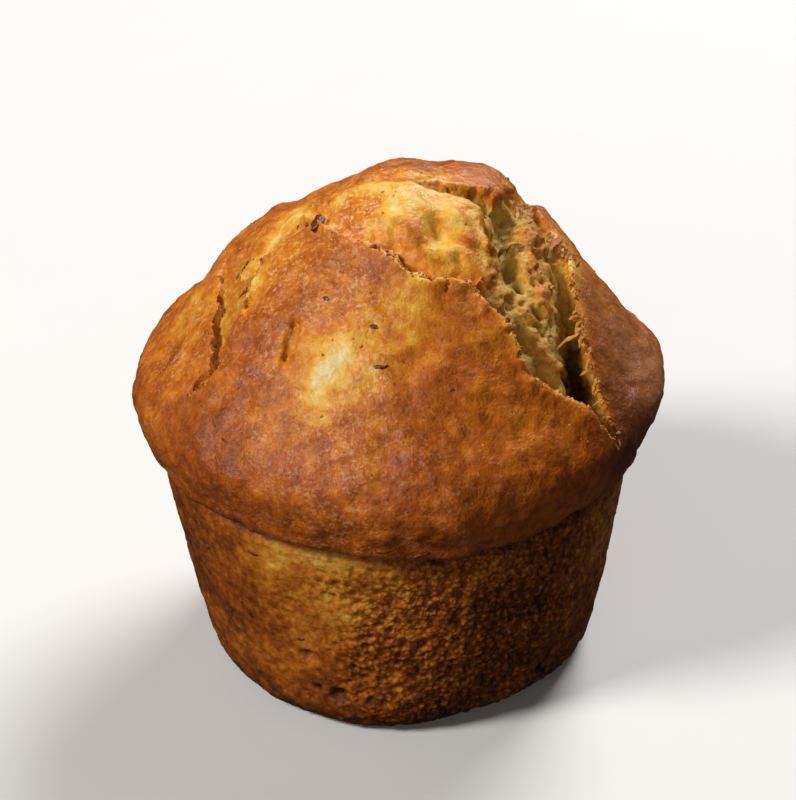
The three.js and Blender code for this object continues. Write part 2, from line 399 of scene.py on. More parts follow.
# The same on the wall: bearing and spread in degrees, height, span and change in browning.
WALL_BROWNINGS = [
    (-110, 14, 36.5, 2.6, -0.36),
    (-102, 24, 29, 7, -0.20),
    (-122, 9, 33, 6, -0.12),
    (-116, 8, 20, 7, -0.08),
    (-152, 22, 26, 18, 0.16),
    # Darker on the front right of the wall, partly deeper browning and partly painted shade.
    (-56, 18, 22, 16, 0.12),
    (-28, 13, 30, 10, -0.18),
    (-90, 120, 1, 6, 0.20),
    (90, 60, 30, 12, -0.10),
]

# Browning of the bare crust, and its change on the lobe, along the front plate's rim and the
# right lip and towards the brim, and the painted shade in the fold under the cap and in the
# wall's pits. Then come the reaches of the rim and the lip, the fold's height over the crease and
# its reach, and pairs of where a change starts and is whole: heights for the brim and the top,
# the way into the lobe, and the depth of a pit.
BARE_BROWNING = 0.5
LOBE_BROWNING = -0.24
RIM_BROWNING = -0.24
LIP_BROWNING = -0.34
BRIM_BROWNING = 0.12
FOLD_PAINTED_SHADE = 0.26
PIT_PAINTED_SHADE = 0.22
RIM_REACH = 1.1
LIP_REACH = 1.7
FOLD_ABOVE = 0.6
FOLD_REACH = 1.7
BRIM_BROWNS = (62, 46)
TOP_OF_CAP = (BRIM_HEIGHT + 3, BRIM_HEIGHT + 10)
LOBE_BROWNS = (-0.4, 0.6)
PIT_SHADE_DEPTHS = (0.1, 0.9)

# How much the browning varies in blotches: everywhere, more where the cap is glossy, and more
# on the wall.
BLOTCHES = 0.06
GLOSSY_BLOTCHES = 0.13
WALL_BLOTCHES = 0.06

# Painted sheen, a greyish tan over the right of the crust: x, y, reach and share, and the
# heights where it sets in and is whole.
PAINTED_SHEEN_PLACE = (39, -9, 10, 0.5)
PAINTED_SHEEN_HEIGHTS = (BRIM_HEIGHT - 4, BRIM_HEIGHT + 4)

# Gloss of the bare crust, how much it varies, and where it is glossier or duller, in plan: x, y,
# reach and change in gloss. Gloss also sets how thickly painted highlights, pale glints, lie on
# the crust.
BARE_GLINT_AND_GLOSS = 0.34
GLINT_AND_GLOSS_BLOTCHES = 0.6
GLINTS_AND_GLOSSES = [
    (-4, -9.5, 5, 0.66),
    (-9, -4, 6, 0.45),
    (0.5, -4, 6, 0.56),
    (5, 2, 5, 0.55),
    (6.5, -12, 5, -0.60),
    (-8, -20.4, 6, 0.26),
    (-18, -13, 5, 0.45),
    (-20, -23, 5, 0.25),
    (-31, -24, 7, -0.20),
    (-3.4, -31, 2.6, 0.40),
    (-8, -38.5, 6, 0.12),
    (-14, -40, 5, 0.05),
    (-31, -11, 6, 0.25),
    (5, -23, 4, -0.24),
    (3, -30, 6, -0.20),
    (20, -30, 12, -0.34),
    (34, -14, 12, -0.30),
]

# Deep pits of the wall: bearing in degrees, height, reach and depth.
WALL_PITS = [
    (-114, 15.3, 1.3, 1.8),
    (-106, 8.2, 1.6, 1.8),
    (-112, 8.6, 0.9, 1.2),
    (-84, 20.5, 1.0, 1.3),
    (-86, 13.4, 0.9, 1.2),
    (-137, 13.5, 0.8, 0.9),
    (-44, 6.5, 1.6, 2.0),
    (-58, 9, 1.1, 1.4),
    (-52, 24, 0.9, 1.2),
    (-150, 24, 0.8, 0.8),
    (-25, 12, 1.0, 1.2),
    (20, 18, 1.2, 1.4),
    (64, 26, 1.0, 1.2),
    (100, 11, 1.4, 1.6),
    (139, 21, 1.1, 1.3),
    (170, 9, 1.3, 1.5),
]

# How much wider than high the pits are, their depth as a share of the listed one, and where
# their edge and floor lie, in their reach.
PIT_WIDTH = 1.25
PIT_SHARE = 0.7
PIT_EDGE = (1.3, 0.1)

# The spongy part of the wall: the bearing of its middle, how many degrees to either side it
# starts and is fully open, and how many degrees its edge wanders.
SPONGE_BEARING = -68
SPONGE_EDGE = (54, 10)
SPONGE_WANDER = 13

# Layers of bumps: height, extra height, width, octaves and the shift that makes a layer differ
# from the others. The lobe's skin brings in the crust's extra height, and the spongy part the
# wall's.
CRUST_LAYERS = [(0.4, 0, 9, 1, 0), (0.26, 0.09, 3.4, 1, 0), (0.12, 0.03, 1.3, 2, 0)]
WALL_LAYERS = [(0.13, 0.2, 1.5, 3, 0), (0.12, 0, 4, 1, 0), (0.25, 0, 12, 1, 0)]
CRUMB_LAYERS = [(0.34, 0, 2.6, 3, 0), (0.15, 0, 1.2, 2, 9)]
BLOTCH_LAYERS = [(1, 0, 7, 2, 20), (0.6, 0, 3, 2, 80)]

# Small pores: depth, extra depth where the wall is spongy, spacing, shift, and how far from its
# middle a pore's edge and floor lie, in the spacing.
WALL_PORES = (0.12, 0.7, 1.6, 5, (0.5, 0.15))
CRUMB_PORES = (0.55, 0, 1.5, 7, (0.42, 0.1))

# The curl of the front plate's free edge: its rise and reach, how much its line wanders, and
# where it sets in and is whole: behind the edge, and from the left and the right end.
CURL = 1.3
CURL_REACH = 2.2
CURL_WANDER = 0.4
CURL_BEHIND = (-0.2, 0.3)
CURL_LEFT = (-20, -13)
CURL_RIGHT = (34, 26)

# The fold under the cap: its depth and reach, how much deeper it is on the right, the bearing
# of that side and how many degrees beside it that starts and is whole. Then the swelling above
# the fold: its rise, height and reach.
CREASE = 1.3
CREASE_REACH = 0.9
CREASE_DEEPER = 0.9
CREASE_BEARING = -30
CREASE_SIDE = (90, 30)
SWELLING = 0.6
SWELLING_ABOVE = 2.4
SWELLING_REACH = 1.4

# Where one surface gives way to another: the depth under the crown where the torn crumb starts
# and is whole, the way into the lobe where it ends, the height over the fold where the wall
# starts, and the height over the base where the grain is whole.
TORN_DEPTHS = (0.3, 0.8)
TORN_LOBE = (0.6, -0.2)
WALL_TOP = (0.6, -0.6)
BASE_FLAT = (0, 2)

# Painted shade in the crevice under the right lip: how many millimetres deeper the crumb is
# coloured than it lies, how far that reaches from the lip, and the depths and places along y
# where it starts and is whole.
CREVICE_SHADE = 4.2
CREVICE_REACH = 2.5
CREVICE_DEPTHS = (0.9, 2.8)
CREVICE_ALONG = (-6, -16)

# Toasted crumb: how much of it the patches and the lip's inner face have, how far that face
# reaches, and the depths where each ends and is whole.
TOASTED_PATCHES = 0.5
TOASTED_LIP = 0.8
TOASTED_REACH = 1.4
PATCH_DEPTHS = (7, 2)
LIP_DEPTHS = (5, 2)

# Strands torn across the splits: the middle line as x, y and depth under the crown, the
# width and the share of the width that is the thickness.
SHREDS = [
    ([(25.8, 1.6, -0.5), (24.9, -1.2, -0.7), (23.6, -4.0, 0.4)], 1.3, 0.35),
    ([(28.0, 1.2, -0.2), (27.9, -0.8, -1.0), (27.3, -2.6, 0.2)], 0.7, 0.5),
    ([(28.6, 0.4, -0.2), (28.4, -1.6, -0.9), (27.6, -3.2, 0.2)], 0.6, 0.5),
    ([(27.0, 0.6, 0.1), (26.6, -1.4, -0.5), (26.2, -3.4, 0.6)], 0.7, 0.4),
    ([(28.0, -15.4, 0.3), (26.9, -16.6, 1.0), (25.3, -17.3, 2.6), (23.8, -18.5, 4.2)], 0.8, 0.45),
    ([(28.1, -13.2, 0.4), (27.1, -13.7, 0.6), (26.1, -14.0, 1.8)], 0.7, 0.45),
    ([(19.2, -5.6, 2.0), (17.8, -6.5, 2.0), (16.4, -7.3, 3.0), (15.2, -8.2, 5.0)], 1.0, 0.4),
    ([(18.4, -5.4, 2.4), (17.4, -5.8, 2.8), (16.6, -6.9, 4.2)], 0.6, 0.5),
    ([(21.0, 1.0, 0.4), (20.4, -1.0, 0.0), (19.4, -2.6, 0.6)], 0.8, 0.4),
    ([(17.6, 3.4, 0.6), (17.9, 2.0, 0.6), (18.3, 0.4, 1.8)], 0.9, 0.45),
    ([(19.2, 3.8, 0.8), (19.3, 2.4, 0.8), (19.2, 1.0, 1.6)], 0.7, 0.45),
    ([(29.6, -19.4, 0.4), (28.6, -20.0, 1.2), (27.6, -20.0, 3.0)], 0.6, 0.45),
    ([(31.0, -22.2, 0.4), (30.2, -22.8, 1.2), (29.4, -22.6, 3.0)], 0.5, 0.45),
    ([(-22.8, -4.0, 0.4), (-24.4, -4.8, 0.8), (-26.2, -5.2, 1.8)], 0.6, 0.5),
    ([(-23.2, -10.2, 0.5), (-24.6, -10.6, 1.0), (-26.4, -11.2, 2.2)], 0.5, 0.5),
]

# Bits of banana in the crust and the wall: x, y, z, length and width.
FLECKS = [
    (-12.0, -8.4, 79, 2.0, 3.6),
    (-13.8, -7.0, 78.5, 1.2, 1.0),
    (-15.6, -5.6, 78, 1.1, 0.9),
    (-3.4, -25.7, 70.6, 2.6, 1.1),
    (-2.6, -30, 66.2, 2.2, 0.9),
    (3.4, -38.9, 40.6, 2.6, 0.8),
    (-10.5, -20.6, 72.6, 1.3, 1.0),
    (7.9, -31.2, 63.1, 1.2, 0.9),
    (-27.0, -27.4, 54.8, 1.8, 0.6),
    (-25.4, -30.4, 53.8, 2.0, 0.5),
    (-22.4, -30.1, 33.8, 2.6, 0.8),
    (-30.2, -21.4, 29.6, 2.0, 0.9),
    (-24.3, -23.9, 8, 1.4, 0.9),
    (-27.5, -25.2, 31.8, 1.4, 0.6),
    (-15.3, -32, 18.6, 1.3, 0.8),
    (-35.1, -12.7, 32.2, 1.6, 0.7),
    (-25, -25.9, 21.8, 1.3, 0.6),
    (-2.0, -40.4, 41.4, 2.2, 0.6),
    (-18.6, -34.6, 39.6, 1.4, 0.7),
    (12, 20, 78, 2.6, 1.4),
    (-20, 24, 66, 2.2, 1.2),
    (24, 28, 58, 1.8, 1.0),
    (-36, 10, 30, 2.2, 0.9),
    (20, 31, 24, 2.4, 1.0),
    (36, -6, 22, 1.8, 0.8),
]

# Lines in plan that loose crumbs lie along: the line, how far they stray and how many.
CRUMB_LINES = [
    (PLATE_EDGE[6:], 0.45, 380),
    (RIGHT_LIP, 0.5, 260),
    (SPLITS[1]["right"], 0.5, 90),
    (SPLITS[1]["left"], 0.35, 50),
    ([(18, 4), (19.6, -3), (21, -9), (22.6, -14), (24, -20)], 2.6, 110),
]

# How many bits are drawn at random besides, the seeds of the draws, and how deep under the
# crown a crumb may lie.
HANGING_SHREDS = 26
STRAY_FLECKS = 90
STRAY_CRUMBS = 130
SHRED_SEED = 5
FLECK_SEED = 9
CRUMB_SEED = 13
DEEPEST_CRUMB = 4.5

# A strand's grid, around it and along it, how much its width varies, and how ragged it is, as
# a share of its half width and as the width, octaves and shifts of the noise.
STRAND_GRID = (8, 16)
STRAND_VARIES = 0.35
STRAND_RAGGED = 0.3
STRAND_NOISE = (0.7, 2, (0, 40, 70))

# The height on the axis that the higher flecks face away from, and the half width of the square
# that the stray crumbs fall in.
FLECK_MIDDLE = 45
STRAY_REACH = 36

# The floor's size in metres and how far it lies under the base, and the colour of the room.
FLOOR_SIZE = 8
FLOOR_DROP = 0.02
ROOM_COLOUR = "e8ecf2"

# The camera, and the point that it and the lights look at.
CAMERA_DISTANCE = 350 * MM
CAMERA_ELEVATION = 29.8
CAMERA_LENS = 96.2
CAMERA_NEAREST = 0.01
AIM = Vector((0, 0, 43.5)) * MM

# The lights: bearing from the front and elevation in degrees, size in metres and colour. All
# stand as far from the aim, in metres.
LIGHT_DISTANCE = 1.6
LIGHTS = {
    "key": (-60, 40, 0.45, (1.0, 0.97, 0.93)),
    "back": (150, 45, 0.8, (1.0, 0.98, 0.96)),
    "front": (-15, 12, 1.4, (1.0, 0.93, 0.82)),
}


# ---- Numbers -------------------------------------------------------------------------


def step(low, high, value):
    """A smooth step from 0 to 1 between two values."""
    share = np.clip((value - low) / (high - low), 0.0, 1.0)
    return share * share * (3 - 2 * share)


def spline(points, count):
    """A smooth curve through points, as count places evenly spaced in its parameter."""
    points = np.array(points, float)
    padded = np.vstack([2 * points[0] - points[1], points, 2 * points[-1] - points[-2]])
    places = np.linspace(0, len(points) - 1, count)
    start = np.minimum(places.astype(int), len(points) - 2)
    t = (places - start)[:, None]
    a, b, c, d = (padded[start + k] for k in range(4))
    return 0.5 * (2 * b + (c - a) * t + (2 * a - 5 * b + 4 * c - d) * t**2
                  + (3 * b - a - 3 * c + d) * t**3)


def along_list(values, share):
    """A value read from evenly spaced ones, at shares from 0 to 1 of their length."""
    return np.interp(share, np.linspace(0, 1, len(values)), values)


def bumps(points, width, octaves=1):
    """Smooth noise of about -1 to 1 at each point, with bumps about width millimetres apart."""
    scaled = (points / width).tolist()
    if octaves == 1:
        return np.array([noise.noise(p) for p in scaled]) * NOISE_GAIN
    return np.array([noise.fractal(p, FADE, FINER, octaves) for p in scaled]) * FRACTAL_GAIN


def layers(points, rows, share=0):
    """Layers of bumps laid over each other, whose extra height a share from 0 to 1 brings in."""
    return sum((height + extra * share) * bumps(points + shift, width, octaves)
               for height, extra, width, octaves, shift in rows)


def wander(points, width, octaves, shifts):
    """A random way and distance at each point, of up to about 1 in each direction."""
    return np.column_stack([bumps(points + shift, width, octaves) for shift in shifts])


def cells(points, width):
    """Distance to the nearest of scattered points, in their spacing."""
    return np.array([noise.voronoi(p)[0][0] for p in (points / width).tolist()])


def pores(points, share, depth, extra, width, shift, edge):
    """Depth of scattered pores, whose extra depth a share from 0 to 1 brings in."""
    return (depth + extra * share) * step(*edge, cells(points + shift, width))


def near(away, reach, beside=0, span=1):
    """1 at no distance, fading smoothly to 0 past a reach, and past a span the other way."""
    return np.exp(-((away / reach) ** 2) - (beside / span) ** 2)


def hill(x, y, at_x, at_y, reach):
    """1 at a place in plan, fading smoothly to 0 past its reach."""
    return np.exp(-((x - at_x) ** 2 + (y - at_y) ** 2) / reach**2)


def turned(bearing, centre):
    """How many degrees a bearing in radians is turned from another, which is in degrees."""
    turn = np.degrees(bearing) - centre
    return turn - 360 * np.round(turn / 360)


# ---- The baked form --------------------------------------------------------------------


def dome_height(radius):
    """Height of the smooth dome over a distance from the axis."""
    return HEIGHT - DOME_DROP * np.minimum(radius / CAP_RADIUS, 1) ** DOME_POWER


def swell(x, y):
    """How far the crown's swells raise a place in plan."""
    return sum(rise * hill(x, y, at_x, at_y, reach) for at_x, at_y, reach, rise in SWELLS)


def crown_height(x, y):
    """Height of the baked crown over a place in plan."""
    return dome_height(np.hypot(x - CROWN_LEAN, y)) + swell(x, y)


def push(bearing, height):
    """How far the side is pushed out and up at a bearing in radians and a height."""
    out, up = np.zeros_like(height), np.zeros_like(height)
    for centre, spread, at, span, outwards, upwards in PUSHES:
        share = near(turned(bearing, centre), spread, height - at, span)
        out += outwards * share
        up += upwards * share
    return out, up


def bake(points):
    """Moves points of the smooth turned form to their places on the uneven baked one."""
    x, y, z = points.T
    bearing, radius = np.arctan2(y, x), np.hypot(x, y)
    on_cap = step(TIN_DEPTH, BRIM_HEIGHT, z)
    out, up = push(bearing, z)
    for count, size, phase in RIM_WAVES:
        out += on_cap * size * np.sin(count * bearing + phase)
    off_axis = step(0, BASE_RADIUS / 2, radius)
    grown = 1 + off_axis * out / np.maximum(radius, 1)
    x = x * grown + CROWN_LEAN * step(BRIM_HEIGHT, HEIGHT - LEAN_UNDER_TOP, z)
    y = y * grown
    rise = step(0, BASE_CORNER, z) * off_axis * up
    rise += step(BRIM_HEIGHT, BRIM_HEIGHT + SWELLS_ABOVE_BRIM, z) * swell(x, y)
    return np.column_stack([x, y, z + rise])


def section():
    """Half of the muffin's upright section, from the middle of the base to the crown."""
    flat = np.linspace((0, 0), (BASE_RADIUS - BASE_CORNER, 0), BASE_PLACES)
    t = np.linspace(0, 1, CORNER_PLACES)[1:, None]
    corner = ((1 - t) ** 2 * flat[-1] + 2 * t * (1 - t) * np.array([BASE_RADIUS, 0])
              + t**2 * np.array([WALL_FOOT_RADIUS, BASE_CORNER]))
    neck = (MOUTH_RADIUS, TIN_DEPTH)
    wall = np.linspace(corner[-1], neck, WALL_PLACES)[1:]
    cap = [neck] + [(CAP_RADIUS - inset, BRIM_HEIGHT + above) for inset, above in BRIM_SECTION]
    cap += [(CAP_RADIUS * share, dome_height(CAP_RADIUS * share)) for share in DOME_SHARES]
    points = np.vstack([flat, corner, wall, spline(cap, CAP_PLACES)[1:]])
    points[-1, 0] = 0
    return points


# ---- Meshes ------------------------------------------------------------------------------


def read(items, name, width):
    """What each of a mesh's items holds under a name, one row of that width for each."""
    flat = np.empty(len(items) * width, np.float32)
    items.foreach_get(name, flat)
    return flat.reshape(-1, width).astype(float)


def places_of(obj):
    """The places of an object's vertices, in millimetres."""
    return read(obj.data.vertices, "co", 3) / MM


def normals_of(obj):
    """The outward directions at an object's vertices."""
    return read(obj.data.vertices, "normal", 3)


def move_to(obj, places):
    """Moves an object's vertices to places given in millimetres."""
    obj.data.vertices.foreach_set("co", (places * MM).astype(np.float32).ravel())
    obj.data.update()


def write_attribute(obj, name, values):
    """Stores one number for each vertex, for the materials to read."""
    layer = obj.data.attributes.new(name, "FLOAT", "POINT")
    layer.data.foreach_set("value", values.astype(np.float32))


def read_attribute(obj, name):
    """The numbers stored for each vertex."""
    return read(obj.data.attributes[name].data, "value", 1)[:, 0]


def only(obj):
    """Selects one object and makes it active."""
    bpy.ops.object.select_all(action="DESELECT")
    obj.select_set(True)
    bpy.context.view_layer.objects.active = obj


def in_edit_mode(obj):
    """Enters edit mode with all of an object selected."""
    only(obj)
    bpy.ops.object.mode_set(mode="EDIT")
    bpy.ops.mesh.select_all(action="SELECT")


def apply_modifier(obj, kind, **settings):
    """Adds one modifier to an object and applies it."""
    only(obj)
    modifier = obj.modifiers.new(kind.lower(), kind)
    for key, value in settings.items():
        setattr(modifier, key, value)
    bpy.ops.object.modifier_apply(modifier=modifier.name)


def turned_form(name, points, sides):
    """A closed form turned about the upright axis from half of its section."""
    bpy.ops.object.select_all(action="DESELECT")
    bpy.ops.mesh.primitive_plane_add(size=MM, location=(0, 0, 0))
    obj = bpy.context.object
    obj.name = name
    in_edit_mode(obj)
    bpy.ops.mesh.merge(type="CENTER")
    for dx, dz in np.diff(points, axis=0) * MM:
        bpy.ops.mesh.extrude_vertices_move(TRANSFORM_OT_translate={"value": (dx, 0, dz)})
    bpy.ops.mesh.select_all(action="SELECT")
    bpy.ops.mesh.spin(steps=sides, angle=2 * math.pi, center=(0, 0, 0), axis=(0, 0, 1))
    bpy.ops.mesh.select_all(action="SELECT")
    bpy.ops.mesh.remove_doubles(threshold=0.01 * MM)
    bpy.ops.mesh.normals_make_consistent(inside=False)
    bpy.ops.object.mode_set(mode="OBJECT")
    return obj


def split_depth(split, along, across, spot, width):
    """Depth of a split's floor under the crown."""
    floor = along_list(split["floor"], along)
    for groove in split["grooves"]:
        away = np.abs(across - along_list(groove["across"], along)) / along_list(groove["reach"], along)
        floor += along_list(groove["depth"], along) * (1 - np.minimum(away, 1) ** 2) ** 2
    for at_x, at_y, reach_x, reach_y, depth in HOLLOWS:
        floor += depth * near(spot[:, 0] - at_x, reach_x, spot[:, 1] - at_y, reach_y)
    for reach, share in zip(split["shoulders"], (across, 1 - across)):
        floor *= step(*SHOULDER, share * width / along_list(reach, along))
    fades = step(0, split["fade_in"], along) * step(0, split["fade_out"], 1 - along)
    return along_list(split["lip"], along) + fades * np.maximum(floor, 0)


def split_cutter(split):
    """The block that cuts a split, in four levels: torn floor, throat, crown and top."""
    bpy.ops.object.select_all(action="DESELECT")
    bpy.ops.mesh.primitive_grid_add(x_subdivisions=split["across"], y_subdivisions=split["along"],
                                    size=1, location=(0, 0, 0))
    obj = bpy.context.object
    obj.name = "cutter_" + split["name"]
    in_edit_mode(obj)
    for _ in range(TOP_LEVEL):
        bpy.ops.mesh.extrude_region_move(TRANSFORM_OT_translate={"value": (0, 0, 1)})
    bpy.ops.mesh.select_all(action="SELECT")
    bpy.ops.mesh.normals_make_consistent(inside=False)
    bpy.ops.object.mode_set(mode="OBJECT")
    grid = places_of(obj) * MM
    across, along, level = grid[:, 0] + 0.5, 0.5 - grid[:, 1], np.round(grid[:, 2]).astype(int)
    lips = [spline(split[side], LIP_PLACES) for side in ("left", "right")]
    left, right = (np.column_stack([along_list(lip[:, k], along) for k in (0, 1)]) for lip in lips)
    width = np.maximum(np.linalg.norm(right - left, axis=1), 0.1)
    under_left, under_right = (along_list(reach, along) for reach in split["undercuts"])
    in_left, in_right = (np.minimum(along_list(slant, along), width / 3) for slant in split["slants"])
    at_floor = under_right * step(1 - UNDERCUT_SHARE, 1, across)
    at_floor -= under_left * step(UNDERCUT_SHARE, 0, across)
    at_throat = in_left * (across < AT_LIP) - in_right * (across > 1 - AT_LIP)
    outwards = np.choose(level, [at_floor, at_throat, 0 * across, 0 * across])
    spot = left + (right - left) * (across + outwards / width)[:, None]
    crown = crown_height(spot[:, 0], spot[:, 1])
    depth = split_depth(split, along, across, spot, width)
    heights = [crown - depth, crown - np.minimum(THROAT, depth / 2), crown, crown + CUTTER_ABOVE]
    places = np.column_stack([spot, np.choose(level, heights)])
    ragged = along_list(split["rough"], across)
    ragged *= step(0, RAGGED_FROM, along) * step(0, RAGGED_TO, 1 - along)
    ragged[level == TOP_LEVEL] *= TOP_RAGGED
    move_to(obj, places + ragged[:, None] * wander(places, *RAGGED))
    return obj


def carve(obj, cutter):
    """Cuts one closed form out of another."""
    apply_modifier(obj, "BOOLEAN", operation="DIFFERENCE", solver="MANIFOLD", object=cutter)
    mesh = cutter.data
    bpy.data.objects.remove(cutter)
    bpy.data.meshes.remove(mesh)


def away_from(places, line):
    """How far each place lies in plan from a smooth line."""
    x, y = places[:, :1], places[:, 1:2]
    curve = spline(line, EDGE_PLACES)
    (ax, ay), (bx, by) = curve[:-1].T, curve[1:].T
    share = ((x - ax) * (bx - ax) + (y - ay) * (by - ay)) / ((bx - ax) ** 2 + (by - ay) ** 2)
    share = np.clip(share, 0, 1)
    return np.hypot(x - ax - share * (bx - ax), y - ay - share * (by - ay)).min(axis=1)


def inside(places, outline):
    """How far each place lies inside a closed outline in plan; negative outside it."""
    closed = outline + outline[:1]
    x, y = places[:, :1], places[:, 1:2]
    curve = spline(closed, EDGE_PLACES)
    (ax, ay), (bx, by) = curve[:-1].T, curve[1:].T
    crossed = ((ay > y) != (by > y)) & (x < ax + (y - ay) * (bx - ax) / np.where(by == ay, 1, by - ay))
    return away_from(places, closed) * np.where(crossed.sum(axis=1) % 2 == 1, 1, -1)


def depth_under(tree, points):
    """How far each point lies from the uncut form."""
    return np.array([tree.find_nearest(Vector(p) * MM)[3] for p in points.tolist()]) / MM


def neck_height(places):
    """Height of the crease under the cap at each place's bearing."""
    bearing = np.arctan2(places[:, 1], places[:, 0])
    return TIN_DEPTH + push(bearing, np.full(len(places), TIN_DEPTH))[1]


def browning(places):
    """How brown the crust is at each place, from 0 for raw cream to 1 for nearly burnt."""
    x, y, z = places.T
    cap = step(TIN_DEPTH, BRIM_HEIGHT, z)
    brown = BARE_BROWNING + BRIM_BROWNING * step(*BRIM_BROWNS, z)
    brown += LOBE_BROWNING * step(*LOBE_BROWNS, inside(places, LOBE))
    top = step(*TOP_OF_CAP, z)
    brown += RIM_BROWNING * top * near(away_from(places, PLATE_EDGE), RIM_REACH)
    brown += LIP_BROWNING * top * near(away_from(places, RIGHT_LIP), LIP_REACH)
    for at_x, at_y, reach, change in BROWNINGS:
        brown += change * cap * hill(x, y, at_x, at_y, reach)
    for centre, spread, height, span, change in WALL_BROWNINGS:
        brown += change * (1 - cap) * near(turn_from(places, centre), spread, z - height, span)
    # Painted shade in the fold under the cap.
    brown += FOLD_PAINTED_SHADE * near(z - neck_height(places) - FOLD_ABOVE, FOLD_REACH)
    # Painted shade in the wall's pits.
    brown += PIT_PAINTED_SHADE * (1 - cap) * step(*PIT_SHADE_DEPTHS, pit_depth(places))
    blotchy = BLOTCHES + GLOSSY_BLOTCHES * glint_and_glossiness(places) * cap + WALL_BLOTCHES * (1 - cap)
    brown += blotchy * layers(places, BLOTCH_LAYERS)
    return np.clip(brown, 0, 1)


def painted_sheen_share(places):
    """How much painted sheen greys the crust to a tan at each place, on its right side."""
    x, y, z = places.T
    at_x, at_y, reach, share = PAINTED_SHEEN_PLACE
    return share * step(*PAINTED_SHEEN_HEIGHTS, z) * hill(x, y, at_x, at_y, reach)


def glint_and_glossiness(places):
    """How glossy the crust is at each place, from 0 to 1, which also sets how thickly painted glints lie."""
    x, y = places.T[:2]
    gloss = np.full(len(places), BARE_GLINT_AND_GLOSS)
    for at_x, at_y, reach, change in GLINTS_AND_GLOSSES:
        gloss += change * hill(x, y, at_x, at_y, reach)
    return np.clip(gloss * (1 + GLINT_AND_GLOSS_BLOTCHES * bumps(places + 50, 4.5, 2)), 0, 1)


def turn_from(places, centre):
    """How many degrees each place's bearing is turned from another bearing."""
    return turned(np.arctan2(places[:, 1], places[:, 0]), centre)


def plate_rise(places):
    """How far the front plate's crust curls up along its free edge."""
    edge = spline(PLATE_EDGE, PLATE_PLACES)
    x, y, z = places.T
    behind = np.interp(x, edge[:, 0], edge[:, 1]) - y + CURL_WANDER * bumps(places + 30, 1.5, 2)
    curl = CURL * step(*CURL_BEHIND, behind) * near(behind, CURL_REACH)
    ends = step(*CURL_LEFT, x) * step(*CURL_RIGHT, x) * (1 + 0.2 * bumps(places + 60, 2.2))
    return curl * ends * step(BRIM_HEIGHT, BRIM_HEIGHT + 6, z)


def pit_depth(places):
    """How deep the wall's larger pits are at each place."""
    depth = np.zeros(len(places))
    radius = np.hypot(places[:, 0], places[:, 1])
    for bearing, height, reach, deep in WALL_PITS:
        beside = np.radians(turn_from(places, bearing)) * radius
        away = np.hypot(beside / PIT_WIDTH, places[:, 2] - height) / reach
        depth += PIT_SHARE * deep * step(*PIT_EDGE, away)
    return depth * (1 + 0.5 * bumps(places + 11, 1.1, 2))


def lobe_rise(places, lobe):
    """How far the lobe's skin stands up in ridges and dips."""
    x, y = places.T[:2]
    rise = sum(up * hill(x, y, at_x, at_y, reach) for at_x, at_y, reach, up in LOBE_FORMS)
    return rise * step(-0.5, 1.0, lobe)


def sponginess(places):
    """How open the crumb of the wall is at each place, from 0 to 1."""
    aside = np.abs(turn_from(places, SPONGE_BEARING))
    return step(*SPONGE_EDGE, aside + SPONGE_WANDER * bumps(places + 33, 8, 3))


def relief(places, torn, wall, lobe):
    """How far the surface stands out at each place: crust bubbles, tin grain and torn crumb."""
    crust = layers(places, CRUST_LAYERS, step(-0.5, 1.5, lobe))
    crust += plate_rise(places) + lobe_rise(places, lobe)
    sponge = sponginess(places)
    grain = layers(places, WALL_LAYERS, sponge) - pit_depth(places) - pores(places, sponge, *WALL_PORES)
    crumb = layers(places, CRUMB_LAYERS) - pores(places, 0, *CRUMB_PORES)
    above = places[:, 2] - neck_height(places)
    right = step(*CREASE_SIDE, np.abs(turn_from(places, CREASE_BEARING)))
    fold = SWELLING * near(above - SWELLING_ABOVE, SWELLING_REACH)
    fold -= (CREASE + CREASE_DEEPER * right) * near(above, CREASE_REACH)
    out = crust * (1 - wall) + grain * wall
    return out * (1 - torn) + crumb * torn + fold


# ---- Nodes -------------------------------------------------------------------------------


def linear(hex_colour):
    """An sRGB hex colour as linear red, green, blue and alpha."""
    parts = [int(hex_colour[k:k + 2], 16) / 255 for k in (0, 2, 4)]
    return tuple(p / 12.92 if p <= 0.04045 else ((p + 0.055) / 1.055) ** 2.4 for p in parts) + (1.0,)


def per(width):
    """Scale of a pattern whose forms lie this many millimetres apart."""
    return 1 / (width * MM)


def shades(colours, finish, **places):
    """Stops of a ramp: where along it each shade of a finish lies."""
    return [(place, getattr(colours, finish + "_" + shade)) for shade, place in places.items()]


def feed(tree, node, links):
    """Gives each named socket of a node a value, an output or another node's first output."""
    for socket, value in links.items():
        if isinstance(value, bpy.types.Node):
            value = value.outputs[0]
        if isinstance(value, bpy.types.NodeSocket):
            tree.links.new(value, node.inputs[socket])
        else:
            node.inputs[socket].default_value = value


def add(tree, kind, links=None, stops=None, **settings):
    """Adds a node with its settings, what its sockets are fed with and a ramp's stops."""
    made = tree.nodes.new("ShaderNode" + kind)
    for name, value in settings.items():
        setattr(made, name, value)
    feed(tree, made, links or {})
    for k, (place, colour) in enumerate(stops or []):
        elements = made.color_ramp.elements
        element = elements[k] if k < 2 else elements.new(place)
        element.position = place
        element.color = colour
    return made


def new_material(name):
    """A material with its node tree and its principled shader."""
    material = bpy.data.materials.new(name)
    material.use_nodes = True
    tree = material.node_tree
    return material, tree, tree.nodes["Principled BSDF"]


